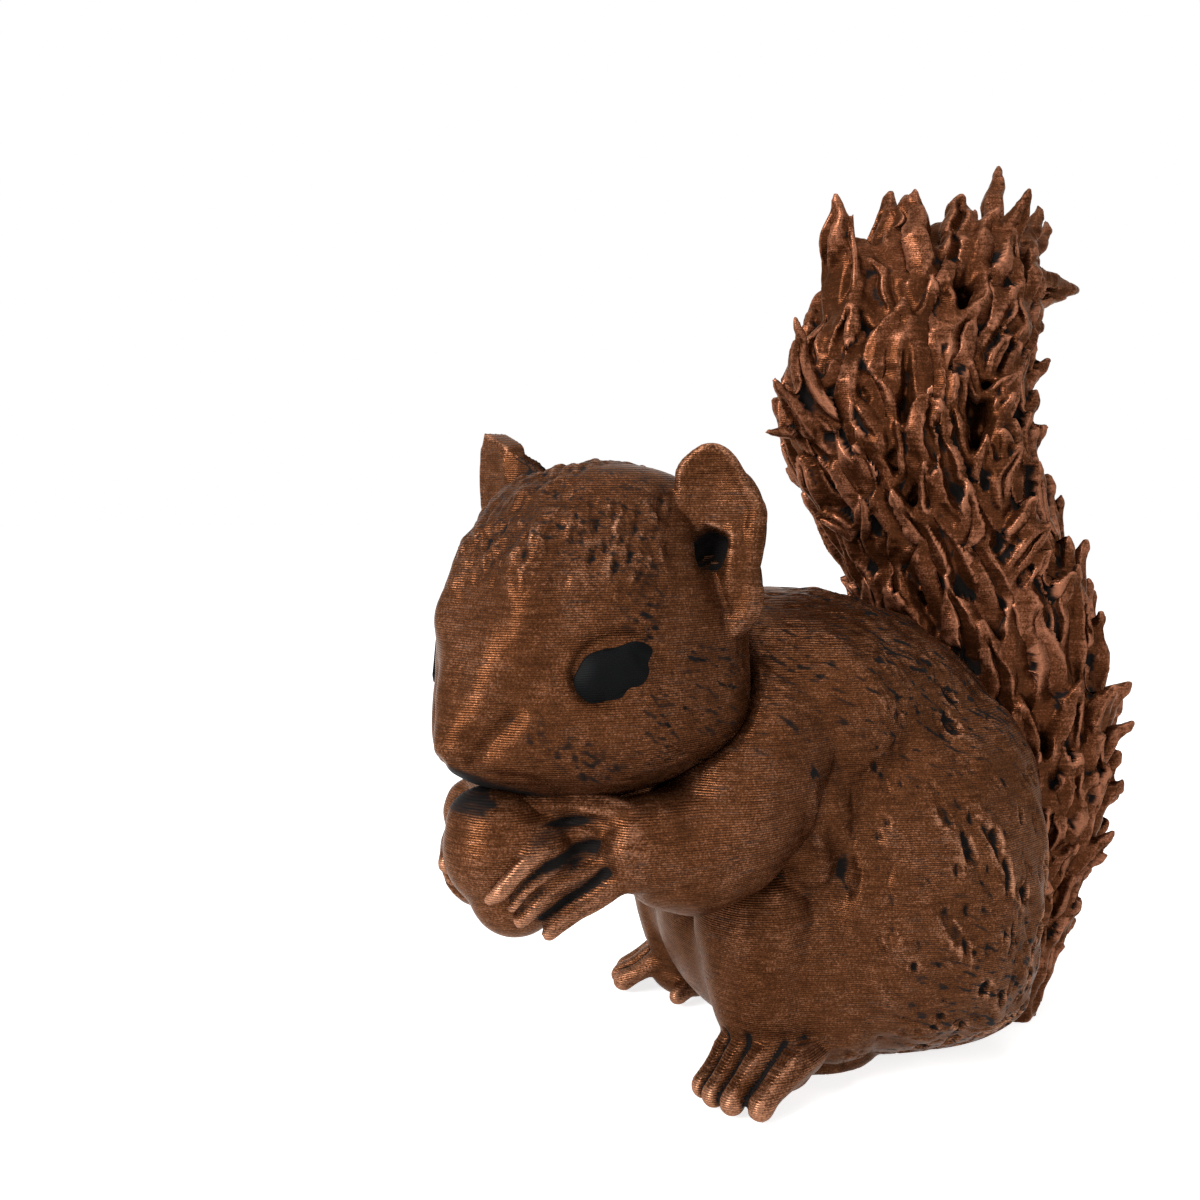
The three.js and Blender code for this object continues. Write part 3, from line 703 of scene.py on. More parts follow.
class FIGURINE_OT_body(bpy.types.Operator):
    """Sculpts torso, arms, hands, haunches and feet as one skin in two halves"""
    bl_idname = "figurine.body"
    bl_label = "Body"

    def execute(self, context):
        sizes = context.scene.figurine_sizes
        forms = [solid_copy("torso", 0.3), ball((4.5, -26.8, 29.6), (8.5, 6.0, 6.6))]
        forms.append(ball((0, -21.2, 10.0), (10.5, 4.4, 8.0), (0, -0.5, 1)))
        for side, name in ((1, "left"), (-1, "right")):
            forms += [solid_copy(f"{name}_haunch", 0.4, 25), solid_copy(f"{name}_arm", 0.4, 25)]
            forms += [*leg(side), foot(side), *hand(side)]
        body = melted(forms, sizes.body_grain / MM, 7)
        move(body, evened(body))
        places = spots(body)
        flat = ramp(places[:, 2], 0.1, 0.8)
        folds = creased(places, BODY_FOLDS) + creased(places * [-1, 1, 1], BODY_FOLDS)
        seams = 0.25 * finger_seams(to_head(places)) + 0.3 * toe_seams(places)
        push(body, folds * flat - seams)
        push(body, sizes.fur_depth * body_fur(spots(body)) * flat)
        lift_to_ground(body)
        places = spots(body)
        soaked = soaked_hands(to_head(places)) + 0.6 * toe_seams(places) + soaked_folds(places)
        painted(body, 0.2, 0.85, soaked + body_specks(places))
        for name, half in zip(("left", "right"), halves(body, (0, 0, 0), (1, 0, 0))):
            nodes = [f"{name}_{part}" for part in ("haunch", "arm", "hand", "foot")]
            placed(f"{name}_body", half, ["torso", *nodes], "bronze fur")
        return {"FINISHED"}


# Head, in its own frame

# The left eye's outline in the head's frame
EYE_OUTLINE = [
    (8.2, -15.8, 40.2), (7.9, -15.9, 41.2), (8.1, -15.5, 42.2), (8.6, -15.0, 43.2), (9.4, -14.0, 43.7),
    (10.1, -12.8, 43.9), (10.9, -11.4, 44.3), (11.5, -10.3, 43.6), (11.3, -10.6, 42.5), (11.35, -10.6, 41.6),
    (11.0, -11.0, 40.7), (10.5, -12.2, 40.4), (10.2, -12.8, 39.7), (9.5, -14.1, 39.5), (8.8, -15.1, 39.4),
]
EYE_MIDDLE = np.array([9.9, -13.5, 41.9])
# The way it looks
EYE_WAY = np.array([0.78, -0.62, 0.06])

# The left ear's outline in its own plane, from the crown round the tip to the lobe
EAR_OUTLINE = [
    (10.0, -4.6, 52.6), (10.6, -4.5, 55.5), (10.6, -4.8, 58.2), (11.5, -4.5, 59.5), (12.8, -3.9, 60.3),
    (14.0, -3.2, 59.8), (14.8, -2.5, 58.3), (15.5, -1.9, 56.6), (16.0, -1.3, 55.3), (15.9, -1.2, 54.0),
    (15.3, -1.2, 51.2), (14.9, -1.2, 49.5), (15.1, -0.9, 48.1), (14.8, -0.9, 46.5), (13.7, -1.2, 45.0),
    (12.4, -2.0, 44.6), (10.4, -3.4, 46.6), (9.6, -4.0, 49.6),
]
EAR_OPENING = np.array([0.5, -0.84, -0.12])
# How much taller the right ear is, above the height of its root
FAR_EAR = (44, 1.09)

# Radii along the rim of the ear, from the crown to the lobe
RIM_RADII = [1.0, 0.8, 0.7, 0.65, 0.65, 0.65, 0.7, 0.75, 0.9, 1.0, 1.2, 1.2, 1.35, 1.35, 1.3]

# Ovoids of the left ear: middle, half width, half thickness and half height
EAR_FORMS = [
    ((12.9, -0.9, 53.6), (3.3, 1.8, 5.4)),
    ((12.4, 0.2, 48.4), (2.8, 1.9, 4.6)),
    ((13.9, -1.6, 50.0), (1.5, 1.5, 4.6)),
    ((9.7, -5.2, 50.8), (2.1, 2.1, 3.4)),
    ((10.2, -4.4, 47.4), (2.3, 2.2, 2.6)),
]

# Skin that joins the right ear to the crown
FAR_WEB = [
    (-14.5, -3.3, 62.6), (-12.5, -3.8, 61.9), (-10.1, -4.4, 60.9), (-7.3, -5.1, 60.0), (-4.0, -5.9, 58.4),
    (-7.0, -5.2, 53.0), (-14.8, -3.1, 53.6), (-15.6, -2.9, 55.5), (-15.9, -2.8, 58.0), (-15.5, -2.9, 61.0),
]


def plate(outline, thickness, normal):
    """A flat closed plate from its outline, as thick as given behind it."""
    form = bmesh.new()
    face = form.faces.new([form.verts.new(np.array(place) * MM) for place in outline])
    grown = bmesh.ops.extrude_face_region(form, geom=[face], use_keep_orig=True)
    moved = [item for item in grown["geom"] if isinstance(item, bmesh.types.BMVert)]
    bmesh.ops.translate(form, vec=Vector(normal) * -thickness * MM, verts=moved)
    bmesh.ops.triangulate(form, faces=form.faces[:])
    bmesh.ops.recalc_face_normals(form, faces=form.faces)
    return mesh_of(form, "plate")


def ear(side):
    """Rim, leaf, root and the fur in front of the hollow."""
    opening = EAR_OPENING * [side, 1, 1]
    outline = np.array(EAR_OUTLINE) * [side, 1, 1]
    if side < 0:
        root, stretch = FAR_EAR
        outline[:, 2] = root + (outline[:, 2] - root) * stretch
    rim = smooth_path(np.c_[outline[:len(RIM_RADII)], RIM_RADII], 50)
    leaf = smooth_path([*outline, outline[0]], 60)[:-1]
    forms = [plate(leaf + 0.35 * opening, 1.8, opening)]
    if side > 0:
        forms.append(strands([(rim[:, :3], rim[:, 3])]))
    else:
        forms.append(plate(np.array(FAR_WEB) + [-0.15, -0.6, 0], 2.6, (-0.25, -0.96, 0)))
    for (x, y, z), (wide, thick, high) in EAR_FORMS:
        forms.append(ball((x * side, y, z), (wide, high, thick), opening))
    return [set_in_head(form) for form in forms]


# Creases of the head's left side in its own frame: the line, the width and the depth
HEAD_CREASES = [
    ([(2.6, -21.9, 34.0), (4.2, -20.6, 36.9), (5.4, -19.1, 39.6), (6.2, -17.6, 42)], 1.6, 0.6),
    ([(5.2, -15.4, 53), (5.7, -16.5, 47.7), (5.0, -18.6, 42)], 1.5, 0.3),
    ([(3.4, -16.3, 52), (4.1, -17.6, 47), (2.2, -19.6, 42.5), (1.6, -21.5, 38)], 1.6, -0.35),
    ([(7.2, -14.2, 51.5), (7.3, -15.2, 47.5), (7.0, -16.4, 44.5)], 1.4, -0.3),
    ([(0, -23.0, 34.9), (1.4, -22.2, 33.8), (3.4, -20.2, 32.8), (5.8, -17.2, 32.5)], 0.6, 0.35),
    ([(5.6, -19.2, 39.0), (3.8, -20.8, 37.0), (2.8, -21.6, 35.2), (2.0, -21.9, 33.4)], 0.9, 0.6),
    ([(12.4, -3.4, 58.6), (12.6, -3.2, 57.0), (12.6, -3.0, 55.4)], 1.7, 0.45),
    ([(12.9, -2.6, 53.6), (12.1, -3.0, 51.6), (11.0, -3.8, 49.6), (9.8, -4.8, 47.6)], 1.15, 3.0),
    ([(11.6, -2.6, 48.9), (12.6, -2.2, 47.9), (13.4, -1.7, 47.3)], 0.5, 1.2),
]


def head_detail(places):
    """Brow, muzzle, cheeks and mouth, in the head's frame."""
    even = on_left(places)
    x, _, z = places.T
    offset = creased(even, HEAD_CREASES) + dent(even, (0, -23.3, 36), 2.2, -0.5)
    offset -= 0.8 * ramp(-x, -3, 3) * ramp(z, 45, 50) * (1 - ramp(-x, 9, 11))
    return offset + dent(even, (11.0, -10.5, 36.2), 4.5, -0.5)


# Marks of black on the left side of the head, in its own frame
SMUDGE = [(6.4, -18.0, 36.4), (8.1, -15.8, 35.0), (8.7, -13.9, 33.2)]
TEMPLE = [(10.8, -11.8, 46.2), (12.0, -8.0, 46.5), (12.6, -5.5, 43.5)]


def lips(places):
    """Lowest height of the lips, from the cheek to the nose, in the head's frame."""
    return np.interp(-places[:, 1], [12, 14.8, 17.4, 20, 22.5], [30.6, 31.1, 31.9, 32.9, 34.3])


def drawn_up(places):
    """Lifts the muzzle's lower half, more towards the nose, so that the lips clear nut and fingers."""
    share = np.interp(-places[:, 1], [11, 14.8, 17.4, 20, 22.5], [0, 0.18, 0.32, 0.38, 0.42])
    lifted = places.copy()
    lifted[:, 2] += share * np.maximum(36 - places[:, 2], 0)
    return lifted


def off_ears(places):
    """0 on the ears and 1 away from them, in the head's frame."""
    x, y, z = places.T
    return 1 - ramp(np.abs(x) + 0.5 * y, 6.5, 8.5) * ramp(z, 43, 45)


def head_fur(places):
    """Tufts over the crown and short strokes behind the eye and on the cheek, in the head's frame."""
    x, y, z = places.T
    side = np.abs(x)
    off_ear = off_ears(places)
    crown = ramp(z + 0.25 * y, 41, 49) * off_ear * (1 - ramp(side, 3, 5) * ramp(z, 55, 57))
    cheek = ramp(y, -15, -9) * ramp(side, 8, 10.5) * (1 - ramp(z, 45, 50)) * off_ear
    tufts = ripples(places, 1.7, 1.0, (0, -0.45, -1), 41)
    mounds = ripples(places, 3.2, 2.6, (0, 0, 1), 44)
    fine = ripples(places, 1.3, 0.6, (0, -0.45, -1), 42)
    strokes = ripples(places, 2.2, 0.6, (0, 1, -0.3), 43)
    offset = crown * (0.18 * ramp(-tufts, -0.2, 0.9) - 0.2 * ramp(tufts, 0.2, 1.5) + 0.18 * mounds)
    return offset - 0.06 * crown * ramp(fine, 0.6, 1.7) - 0.2 * cheek * ramp(strokes, 1.0, 2.2)


def head_specks_and_mouth_shade(even):
    """How much of the black stays on crown, cheek, temple and mouth, for places mirrored to the left; at the
    mouth it is partly painted shade.
    """
    _, y, z = even.T
    dashes = ramp(ripples(even, 1.7, 0.36, (0, 1, -0.3), 45), 0.3, 1.7)
    cheek = ramp(y, -17, -11) * ramp(z, 31, 35)
    crown = ramp(z + 0.25 * y, 42, 48)
    # The lips' lowest edge over the nut is darkened: partly black paint, partly painted shade under the lips.
    mouth = ramp(-y, 12, 14) * (1 - ramp(z - lips(even), -0.6, 0.3))
    smudge, temple = (line_distance(even, line)[0] for line in (SMUDGE, TEMPLE))
    stains = np.maximum(1 - ramp(smudge, 0.8, 2.6), 0.8 * (1 - ramp(temple, 0.6, 3.2)))
    stains *= ramp(ripples(even, 1.5, 0.4, (0, 1, -0.5), 46), -0.8, 1.2)
    specks = np.maximum(0.65 * cheek * dashes, crown * (0.25 + 0.4 * dashes)) + 0.65 * stains
    eyes = np.linalg.norm(even - EYE_MIDDLE, axis=1)
    # The mouth's share is black paint and painted shade; the black is kept off around the eyes.
    return off_ears(even) * specks + 0.9 * mouth - 0.6 * (1 - ramp(eyes, 3.0, 3.8))


class FIGURINE_OT_head(bpy.types.Operator):
    """Sculpts the head with its ears"""
    bl_idname = "figurine.head"
    bl_label = "Head"

    def execute(self, context):
        sizes = context.scene.figurine_sizes
        forms = [solid_copy("head", 0.25, 30)]
        for side in (1, -1):
            forms += [*ear(side), eye_bed(side)]
        head = melted(forms, sizes.head_grain / MM, 9)
        move(head, from_head(drawn_up(to_head(spots(head)))))
        push(head, head_detail(to_head(spots(head))))
        push(head, sizes.fur_depth * head_fur(to_head(spots(head))))
        # The black here includes painted shade along the mouth, where the lips meet the nut.
        painted(head, 0.17, 0.75, head_specks_and_mouth_shade(on_left(to_head(spots(head)))))
        placed("head_with_ears", head, ["head", "left_ear", "right_ear"], "bronze fur")
        return {"FINISHED"}


def eye_bed(side):
    """Skin under an eye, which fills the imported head's pocket."""
    return set_in_head(ball((8.55 * side, -12.4, 41.8), (5.2, 4.2, 2.1), EYE_WAY * [side, 1, 1]))


def eye(side):
    """A domed almond that is let into the head."""
    outline = smooth_path([*EYE_OUTLINE, EYE_OUTLINE[0]], 56)[:-1] + (0.5 if side > 0 else 0.3) * EYE_WAY
    form = bmesh.new()
    face = form.faces.new([form.verts.new(spot) for spot in outline * [side, 1, 1]])
    out = Vector(EYE_WAY * [side, 1, 1])
    for inset, lift in ((0.1, 0.16), (0.25, 0.14), (0.4, 0.1), (0.5, 0.06)):
        bmesh.ops.inset_region(form, faces=[face], thickness=inset, use_even_offset=True)
        bmesh.ops.translate(form, vec=out * lift, verts=face.verts)
    ring = bmesh.ops.extrude_edge_only(form, edges=[edge for edge in form.edges if edge.is_boundary])
    deep = [item for item in ring["geom"] if isinstance(item, bmesh.types.BMVert)]
    bmesh.ops.translate(form, vec=out * -2.2, verts=deep)
    bmesh.ops.holes_fill(form, edges=[edge for edge in form.edges if edge.is_boundary], sides=0)
    bmesh.ops.recalc_face_normals(form, faces=form.faces)
    mesh = mesh_of(form, "eye")
    move(mesh, from_head(numbers(mesh.vertices, "co", 3)))
    mesh.polygons.foreach_set("use_smooth", np.ones(len(mesh.polygons), bool))
    return mesh


class FIGURINE_OT_eyes(bpy.types.Operator):
    """Makes the two black almond eyes"""
    bl_idname = "figurine.eyes"
    bl_label = "Eyes"

    def execute(self, context):
        for side, name in ((1, "left"), (-1, "right")):
            placed(f"{name}_almond_eye", eye(side), [f"{name}_eye"], "black eye paint")
        return {"FINISHED"}


class FIGURINE_OT_nut(bpy.types.Operator):
    """Makes the smooth nut between the hands and the mouth"""
    bl_idname = "figurine.nut"
    bl_label = "Nut"

    def execute(self, context):
        upper = ball(from_head((-0.1, -16.0, 25.9)), (5.2, 5.4, 5.6))
        cap = ball(from_head((-1.2, -17.0, 28.0)), (3.6, 3.6, 3.4))
        lower = ball(from_head((0.7, -15.4, 22.4)), (4.3, 4.3, 4.4))
        nut = melted([upper, cap, lower], 0.25, 40)
        places = to_head(spots(nut))
        offset = dent(places, (3.5, -22.2, 25.5), 2.2, -0.2) + dent(places, (-1, -21, 20), 2.5, 0.15)
        push(nut, offset)
        x, y, z = places.T
        # The nut is darkened on its top under the lips and nose: partly black paint, partly painted shade
        # where the lips meet it.
        side = along_hand(x, y) + 0.4 * ripples(places, 2.0, 1.0, (1, 0, 0), 61)
        painted(nut, 0.2, 0.9, 0.8 * (1 - ramp(side, -11.4, -10.0)) * ramp(z, 28.6, 30.0))
        placed("held_nut", nut, ["nut"], "smooth bronze")
        return {"FINISHED"}


# Tail

# Locks on the left side of the tail, each its root, a place on its way, its tip and its width
LEFT_LOCKS = [
    ((-3.0, -6.7, 79.5), (-1.0, -8.0, 82.3), (0.5, -8.4, 86.9), 3.4),
    ((0.0, -6.4, 74.4), (1.0, -6.7, 79.4), (0.5, -6.7, 85.0), 1.8),
    ((2.5, -0.8, 76.6), (1.0, -0.5, 82.0), (-2.8, 1.4, 87.9), 5.8),
    ((2.5, -3.0, 74.2), (2.0, -4.1, 77.7), (1.0, -4.8, 80.8), 2.6),
    ((1.5, 4.5, 82.5), (0.0, 5.9, 85.5), (-2.5, 7.5, 88.4), 3.7),
    ((3.0, 3.4, 79.0), (2.5, 4.1, 81.7), (0.5, 5.4, 84.7), 4.1),
    ((0.0, 9.9, 81.8), (-3.0, 12.1, 87.6), (-5.8, 14.0, 92.7), 3.2),
    ((0.0, 11.4, 81.0), (-3.0, 13.9, 84.4), (-5.0, 16.4, 87.8), 3.2),
    ((-3.0, 15.2, 81.7), (-7.0, 19.2, 85.7), (-9.0, 21.1, 89.3), 2.8),
    ((-5.0, 16.7, 80.6), (-9.0, 21.2, 84.6), (-12.0, 24.6, 88.5), 2.5),
    ((2.0, 7.7, 73.5), (-3.0, 13.7, 78.9), (-11.5, 28.4, 80.8), 5.2),
    ((0.5, 8.5, 72.5), (-4.0, 16.0, 77.6), (-10.5, 26.0, 79.9), 4.4),
    ((6.8, 5.2, 68.5), (7.5, 6.1, 70.5), (7.4, 8.3, 72.8), 1.8),
    ((7.2, 5.4, 66.5), (8.1, 6.1, 67.6), (8.2, 8.1, 68.7), 1.4),
    ((7.6, 5.7, 64.2), (8.5, 6.2, 65.6), (8.8, 7.6, 66.6), 1.5),
    ((7.9, 5.7, 62.2), (9.0, 6.0, 63.1), (9.6, 6.8, 63.8), 1.3),
    ((8.8, 5.8, 55.1), (9.8, 5.9, 58.2), (9.7, 7.6, 61.6), 2.7),
    ((8.8, 6.7, 51.1), (10.0, 7.7, 53.7), (10.1, 9.5, 56.4), 2.8),
    ((8.8, 7.2, 48.2), (10.0, 8.6, 51.1), (10.1, 10.7, 53.9), 2.7),
    ((8.8, 9.1, 46.1), (9.9, 9.9, 48.8), (10.4, 11.2, 51.1), 1.8),
    ((8.6, 11.9, 44.6), (9.5, 12.9, 47.0), (9.6, 14.4, 48.7), 2.9),
    ((7.4, -0.7, 61.6), (6.9, -1.2, 69.5), (5.3, 0.1, 78.4), 4.6),
    ((7.8, 0.2, 62.1), (8.3, 0.1, 67.4), (6.9, 0.0, 73.7), 2.4),
    ((3.7, -3.6, 70.6), (2.6, -5.0, 73.0), (1.0, -5.8, 75.4), 2.6),
    ((0.2, -7.0, 69.7), (-2.9, -7.5, 73.0), (-7.7, -7.0, 75.7), 3.1),
    ((1.2, -8.3, 65.5), (-0.4, -9.2, 68.5), (-3.4, -9.5, 71.2), 2.4),
    ((6.4, -3.9, 62.4), (5.0, -6.1, 67.6), (3.3, -6.9, 71.1), 2.8),
    ((5.6, -5.3, 61.3), (4.8, -7.8, 64.4), (3.7, -8.9, 67.3), 3.1),
    ((4.4, -6.3, 61.9), (3.0, -11.5, 65.6), (4.5, -14.6, 73.6), 3.3),
    ((-1.0, -10.0, 61.5), (0.5, -12.5, 63.1), (2.5, -16.4, 62.8), 2.4),
    ((3.0, -7.1, 58.2), (1.4, -11.7, 62.6), (3.8, -16.1, 67.8), 3.4),
    ((-2.1, -7.6, 55.0), (-0.7, -10.2, 57.7), (-0.3, -11.8, 60.9), 2.9),
    ((0.7, -5.0, 51.8), (0.3, -7.7, 53.6), (-1.5, -9.6, 54.3), 2.3),
    ((3.8, -4.3, 54.2), (5.5, -6.5, 58.5), (5.5, -8.4, 61.3), 2.5),
    ((0.0, -4.1, 50.9), (3.1, -6.2, 54.2), (4.7, -7.7, 57.1), 2.1),
    ((5.7, -2.8, 55.9), (7.4, -3.9, 60.4), (7.8, -4.7, 64.0), 1.9),
    ((5.4, 0.1, 50.4), (7.8, -1.2, 55.6), (8.9, -2.7, 59.8), 2.3),
    ((6.8, 2.5, 49.0), (8.9, 2.5, 53.4), (10.0, 1.7, 57.9), 3.3),
    ((8.2, 4.4, 55.9), (9.3, 3.7, 59.3), (9.9, 3.5, 62.4), 2.7),
    ((3.3, -0.7, 48.0), (5.3, -1.7, 50.4), (7.1, -2.5, 52.8), 2.8),
    ((1.1, -2.2, 48.5), (3.6, -3.5, 51.0), (5.4, -4.6, 53.3), 1.8),
    ((5.9, 1.1, 48.7), (7.3, -0.1, 51.6), (8.6, -0.6, 54.0), 1.8),
    ((6.8, 4.3, 66.2), (7.7, 3.0, 68.4), (8.1, 2.5, 69.9), 1.9),
    ((7.7, 2.3, 62.5), (8.2, 1.6, 66.4), (8.1, 1.4, 69.7), 1.8),
    ((7.8, 5.2, 47.6), (9.2, 6.8, 51.1), (9.7, 9.0, 53.6), 2.4),
]


def tail_middle(up):
    """Middle of the tail at a height, and its reach to the side and to the back."""
    rows = np.array(TAIL_MIDDLE)
    return np.stack([np.interp(up, rows[:, 2], rows[:, column]) for column in (0, 1, 3, 4)], -1)


def away_from_middle(place):
    side, back, wide, deep = tail_middle(place[2])
    out = np.array([(place[0] - side) / wide, (place[1] - back) / deep, 0.0])
    return out / (np.linalg.norm(out) + 1e-9)


def lock(root, way, tip, width):
    """A flame-like lock as a tapering strand, and the line of the hollow in its outer face."""
    path = smooth_path([root, way, tip], 11)
    share = np.linspace(0, 1, len(path))
    along = np.gradient(path, axis=0)
    along /= np.linalg.norm(along, axis=1)[:, None]
    out = np.array([away_from_middle(place) for place in path])
    out -= (out * along).sum(1)[:, None] * along
    out /= np.linalg.norm(out, axis=1)[:, None] + 1e-9
    thick = width / 2 * np.interp(share, [0, 0.25, 0.55, 0.8, 1], [0.75, 1.0, 1.0, 0.7, 0.22])
    return path, thick, path + thick[:, None] * out


def hollowed(places, locks):
    """How deep the hollows of the locks go. A place belongs to the lock that it lies nearest to."""
    nearest = np.full(len(places), np.inf)
    offset = np.zeros(len(places))
    for path, thick, line in locks:
        width = 2 * thick.max()
        length = np.linalg.norm(path[-1] - path[0])
        near = np.flatnonzero(np.linalg.norm(places - path[len(path) // 2], axis=1) < length / 2 + width)
        distance, along = line_distance(places[near], path)
        outside = distance - np.interp(along, np.linspace(0, 1, len(path)), thick)
        mine = outside < nearest[near]
        near = near[mine]
        nearest[near] = outside[mine]
        groove, along = line_distance(places[near], line)
        fade = ramp(along, 0.04, 0.28) * ramp(1 - along, 0.04, 0.22)
        offset[near] = -0.4 * width * np.exp(-(groove / (0.27 * width)) ** 2) * fade
    return offset


def spread_locks(seed):
    """Locks all round the rest of the tail, in staggered rows."""
    dice = np.random.default_rng(seed)
    per_row = 15
    places = []
    for row, up in enumerate(np.arange(1.0, 82, 3.9)):
        for i in range(per_row):
            bearing = (i + 0.5 * (row % 2) + dice.uniform(-0.25, 0.25)) / per_row * 2 * np.pi
            root_up = up + dice.uniform(-1.2, 1.2)
            rise = dice.uniform(11, 17) if up < 62 else dice.uniform(7, 10)
            flare = 0.16 * max(0, -math.cos(bearing)) * (up < 56)
            width = dice.uniform(3.2, 4.8)
            stops = []
            for share, reach in ((0, 0.76), (0.5, 0.89), (1, dice.uniform(0.9, 1.03) + flare)):
                level = root_up + rise * share * (0.62 if up < 32 else 1)
                side, back, wide, deep = tail_middle(level)
                if level > 83.5:
                    back += 0.3 * (level - 83.5)
                side += reach * wide * math.sin(bearing)
                stops.append((side, back - reach * deep * math.cos(bearing), level))
            places.append((*stops, width))
    return places


def hidden(place):
    """Whether a place lies within the torso or a haunch."""
    x, y, z = place
    torso = z < 44 and (x / 14) ** 2 + ((y + 4) / 17) ** 2 + (max(z - 20, 0) / 26) ** 2 < 1
    haunch = ((abs(x) - 11.4) / 8.6) ** 2 + ((y + 4.2) / 11.6) ** 2 + (max(z - 20, 0) / 20) ** 2 < 1
    return torso or z < 38 and haunch


def swayed(places):
    """Places of a strand, pushed about a little in long waves, as hair lies."""
    x, y, z = np.asarray(places).T
    sway = np.stack([
        np.sin(0.9 * z + 0.5 * y) + 0.6 * np.sin(1.7 * z - 0.8 * x + 1.3),
        np.sin(0.8 * z - 0.6 * x + 2.1) + 0.6 * np.sin(1.5 * z + 0.9 * y + 0.4),
        0.5 * np.sin(0.9 * x + 0.7 * y + 0.5),
    ], 1)
    return places + 0.2 * sway


def tail_locks():
    """Every lock of the tail: those drawn for its left side, and others where they leave room."""
    drawn = np.array([way for _, way, _, _ in LEFT_LOCKS])
    others = [
        (root, way, tip, width) for root, way, tip, width in spread_locks(5)
        if not hidden(tip) and np.linalg.norm(drawn - way, axis=1).min() >= 2.4
    ]
    return LEFT_LOCKS + others


# Heights at which the tail is parted into plume, middle and base
TAIL_CUTS = (60, 34)


class FIGURINE_OT_tail(bpy.types.Operator):
    """Makes the tail of hollow flame-like locks"""
    bl_idname = "figurine.tail"
    bl_label = "Tail"

    def execute(self, context):
        sizes = context.scene.figurine_sizes
        rows = np.array(TAIL_MIDDLE)
        core = smooth_path(np.c_[rows[:-2, :3], 0.8 * rows[:-2, 3]], 24)
        core[0, 2] = 0.5
        filling = [smooth_path(form, 12) for form in (core, *PLUME_FORMS)]
        locks = []
        for stops in tail_locks():
            path, thick, line = lock(*stops)
            locks.append((swayed(path), thick, swayed(line)))
        forms = [(form[:, :3], form[:, 3]) for form in filling] + [each[:2] for each in locks]
        tail = melted([strands(forms)], sizes.tail_grain / MM, 5)
        places = spots(tail)
        scratches = 0.12 * ramp(ripples(places, 8.0, 0.9, (0, 0.1, 1), 51), 0.5, 1.6)
        push(tail, hollowed(places, locks) - scratches)
        lift_to_ground(tail)
        painted(tail, 0.32, 0.95)
        top, rest = halves(tail, (0, 0, TAIL_CUTS[0]), (0, 0, 1))
        middle, low = halves(rest, (0, 0, TAIL_CUTS[1]), (0, 0, 1))
        for name, part in (("tail_plume", top), ("tail_middle", middle), ("tail_base", low)):
            placed(name, part, ["tail"], "tail bronze")
        return {"FINISHED"}


# Stage

# Share of the paints' red, green and blue that the darker tail keeps
TAIL_TONE = np.array([0.68, 0.58, 0.56])


class FIGURINE_OT_paints(bpy.types.Operator):
    """Mixes the bronze paints and the eyes' black"""
    bl_idname = "figurine.paints"
    bl_label = "Paints"

    def execute(self, context):
        sizes = context.scene.figurine_sizes
        print_layers_group()
        bronze_paint_group()
        bronze, worn = tuple(sizes.bronze), tuple(sizes.worn_bronze)
        bronze_material("bronze fur", bronze, worn, 0.03 * MM, 1.3, 0.75)
        bronze_material("smooth bronze", bronze, worn, 0.026 * MM, 1.1, 0.35)
        bronze_material("tail bronze", TAIL_TONE * bronze, TAIL_TONE * worn, 0.01 * MM, 0.3, 0.15)
        eye_material()
        return {"FINISHED"}


def seen_straight(tree):
    """1 where the camera, a reflection or a clear surface looks at the backdrop, and 0 for its light."""
    seen = tree.nodes.new("ShaderNodeLightPath").outputs
    direct = math_node(tree, "MAXIMUM", seen["Is Camera Ray"], seen["Is Glossy Ray"])
    return math_node(tree, "MAXIMUM", direct, seen["Is Transmission Ray"])


def floor_material():
    """Pale floor that shows white to the camera and keeps the object's shadow."""
    material, tree, shader = material_of("pale floor")
    fill(tree, shader, {
        "Base Color": (0.82, 0.82, 0.82, 1), "Roughness": 0.9, "Emission Color": (1, 1, 1, 1),
        "Emission Strength": math_node(tree, "MULTIPLY", seen_straight(tree), 0.78),
    })
    return material


# Soft square lamps: name, place and width in metres, and power in watts
LAMPS = [
    ("key", (0.22, -0.55, 0.36), 0.34, 5.8),
    ("top", (0.15, 0.0, 0.8), 0.5, 2.0),
    ("fill", (0.7, 0.2, 0.3), 0.4, 1.1),
]
LAMPS_AIM = Vector((0, 0, 0.04))
# The photograph's view, in metres
CAMERA_PLACE = (0.1241507, -0.0657587, 0.0558399)
CAMERA_WAY = Vector((-0.9643, 0.2537, -0.0763))


def turned(way):
    """The turn of a lamp or a camera that looks along a way."""
    return way.to_track_quat("-Z", "Y").to_euler()


class FIGURINE_OT_stage(bpy.types.Operator):
    """Sets up the pale floor, the soft lamps and the camera"""
    bl_idname = "figurine.stage"
    bl_label = "Stage"

    def execute(self, context):
        scene = context.scene
        form = bmesh.new()
        bmesh.ops.create_circle(form, cap_ends=True, segments=64, radius=3)
        floor = linked("floor", mesh_of(form, "floor"))
        floor.data.materials.append(floor_material())

        world = bpy.data.worlds.new("studio")
        world.use_nodes = True
        tree = world.node_tree
        strength = math_node(tree, "MULTIPLY_ADD", seen_straight(tree), 0.8, 0.2)
        fill(tree, tree.nodes["Background"], {"Strength": strength, "Color": (1, 1, 1, 1)})
        scene.world = world

        for name, place, width, power in LAMPS:
            light = bpy.data.lights.new(name, "AREA")
            light.size = width
            light.energy = power
            lamp = linked(name, light)
            lamp.location = place
            lamp.rotation_euler = turned(LAMPS_AIM - Vector(place))

        view = bpy.data.cameras.new("photo view")
        view.lens = 38.737
        view.sensor_width = 36
        view.clip_start = 0.005
        scene.camera = linked("photo view", view)
        scene.camera.location = CAMERA_PLACE
        scene.camera.rotation_euler = turned(CAMERA_WAY)
        scene.view_settings.view_transform = "Standard"
        return {"FINISHED"}


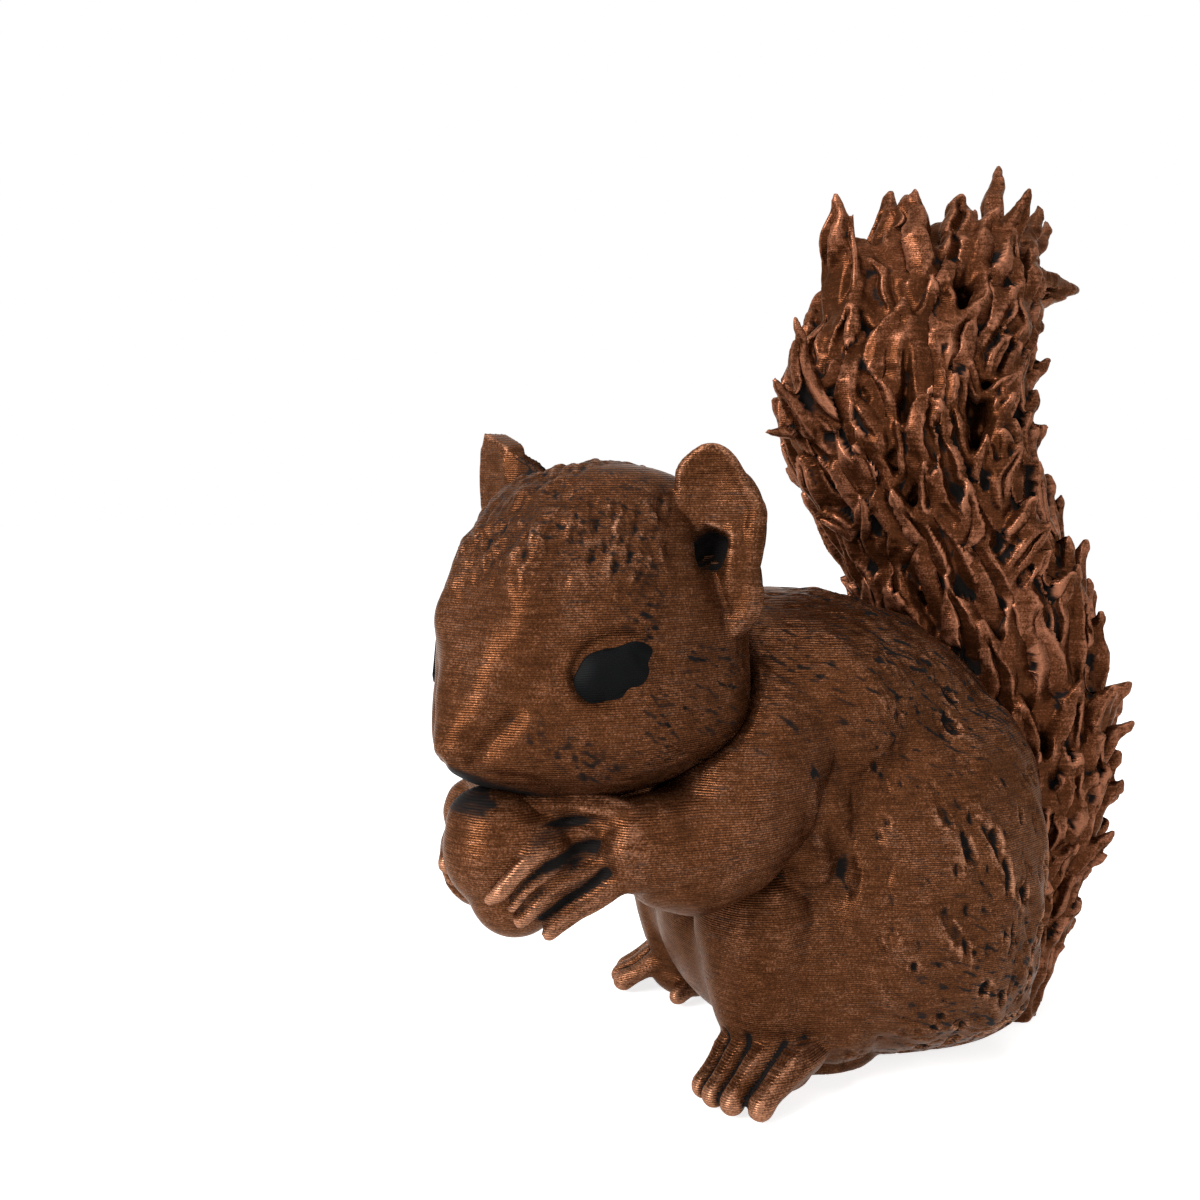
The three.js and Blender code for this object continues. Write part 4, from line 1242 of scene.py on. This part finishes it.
def grain(part, size):
    """A setting for the size of the faces on one part, in millimetres."""
    return FloatProperty(
        name=f"{part.title()} grain", description=f"Size of the faces on the {part}",
        default=size * MM, min=0.1 * MM, unit="LENGTH", precision=5,
    )


class FigurineSizes(bpy.types.PropertyGroup):
    body_grain: grain("body", 0.27)
    head_grain: grain("head", 0.21)
    tail_grain: grain("tail", 0.28)
    fur_depth: FloatProperty(
        name="Fur depth", description="Depth of the pits in the fur as a share of the usual",
        default=1.0, min=0, subtype="FACTOR",
    )
    bronze: FloatVectorProperty(
        name="Bronze", description="Colour of the bronze paint",
        default=(0.108, 0.0365, 0.0124), subtype="COLOR", min=0, max=1,
    )
    worn_bronze: FloatVectorProperty(
        name="Worn bronze", description="Colour of the bronze on ridges",
        default=(0.42, 0.19, 0.105), subtype="COLOR", min=0, max=1,
    )


class FIGURINE_PT_panel(bpy.types.Panel):
    """Lists the figurine's sizes and pieces"""
    bl_label = "Figurine"
    bl_space_type = "VIEW_3D"
    bl_region_type = "UI"
    bl_category = "Figurine"

    def draw(self, context):
        sizes = context.scene.figurine_sizes
        for name in sizes.bl_rna.properties.keys():
            if name not in ("rna_type", "name"):
                self.layout.prop(sizes, name)
        for operator in OPERATORS:
            self.layout.operator(operator.bl_idname)


OPERATORS = (
    FIGURINE_OT_paints, FIGURINE_OT_stage, FIGURINE_OT_body, FIGURINE_OT_head, FIGURINE_OT_eyes,
    FIGURINE_OT_nut, FIGURINE_OT_tail,
)
CLASSES = (FigurineSizes, *OPERATORS, FIGURINE_PT_panel)


def register():
    for each in CLASSES:
        bpy.utils.register_class(each)
    bpy.types.Scene.figurine_sizes = PointerProperty(type=FigurineSizes)


def unregister():
    del bpy.types.Scene.figurine_sizes
    for each in reversed(CLASSES):
        bpy.utils.unregister_class(each)


def main():
    register()
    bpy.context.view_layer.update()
    bpy.ops.figurine.paints()
    bpy.ops.figurine.stage()
    bpy.ops.figurine.body()
    bpy.ops.figurine.head()
    bpy.ops.figurine.eyes()
    bpy.ops.figurine.nut()
    bpy.ops.figurine.tail()


if __name__ == "__main__":
    main()
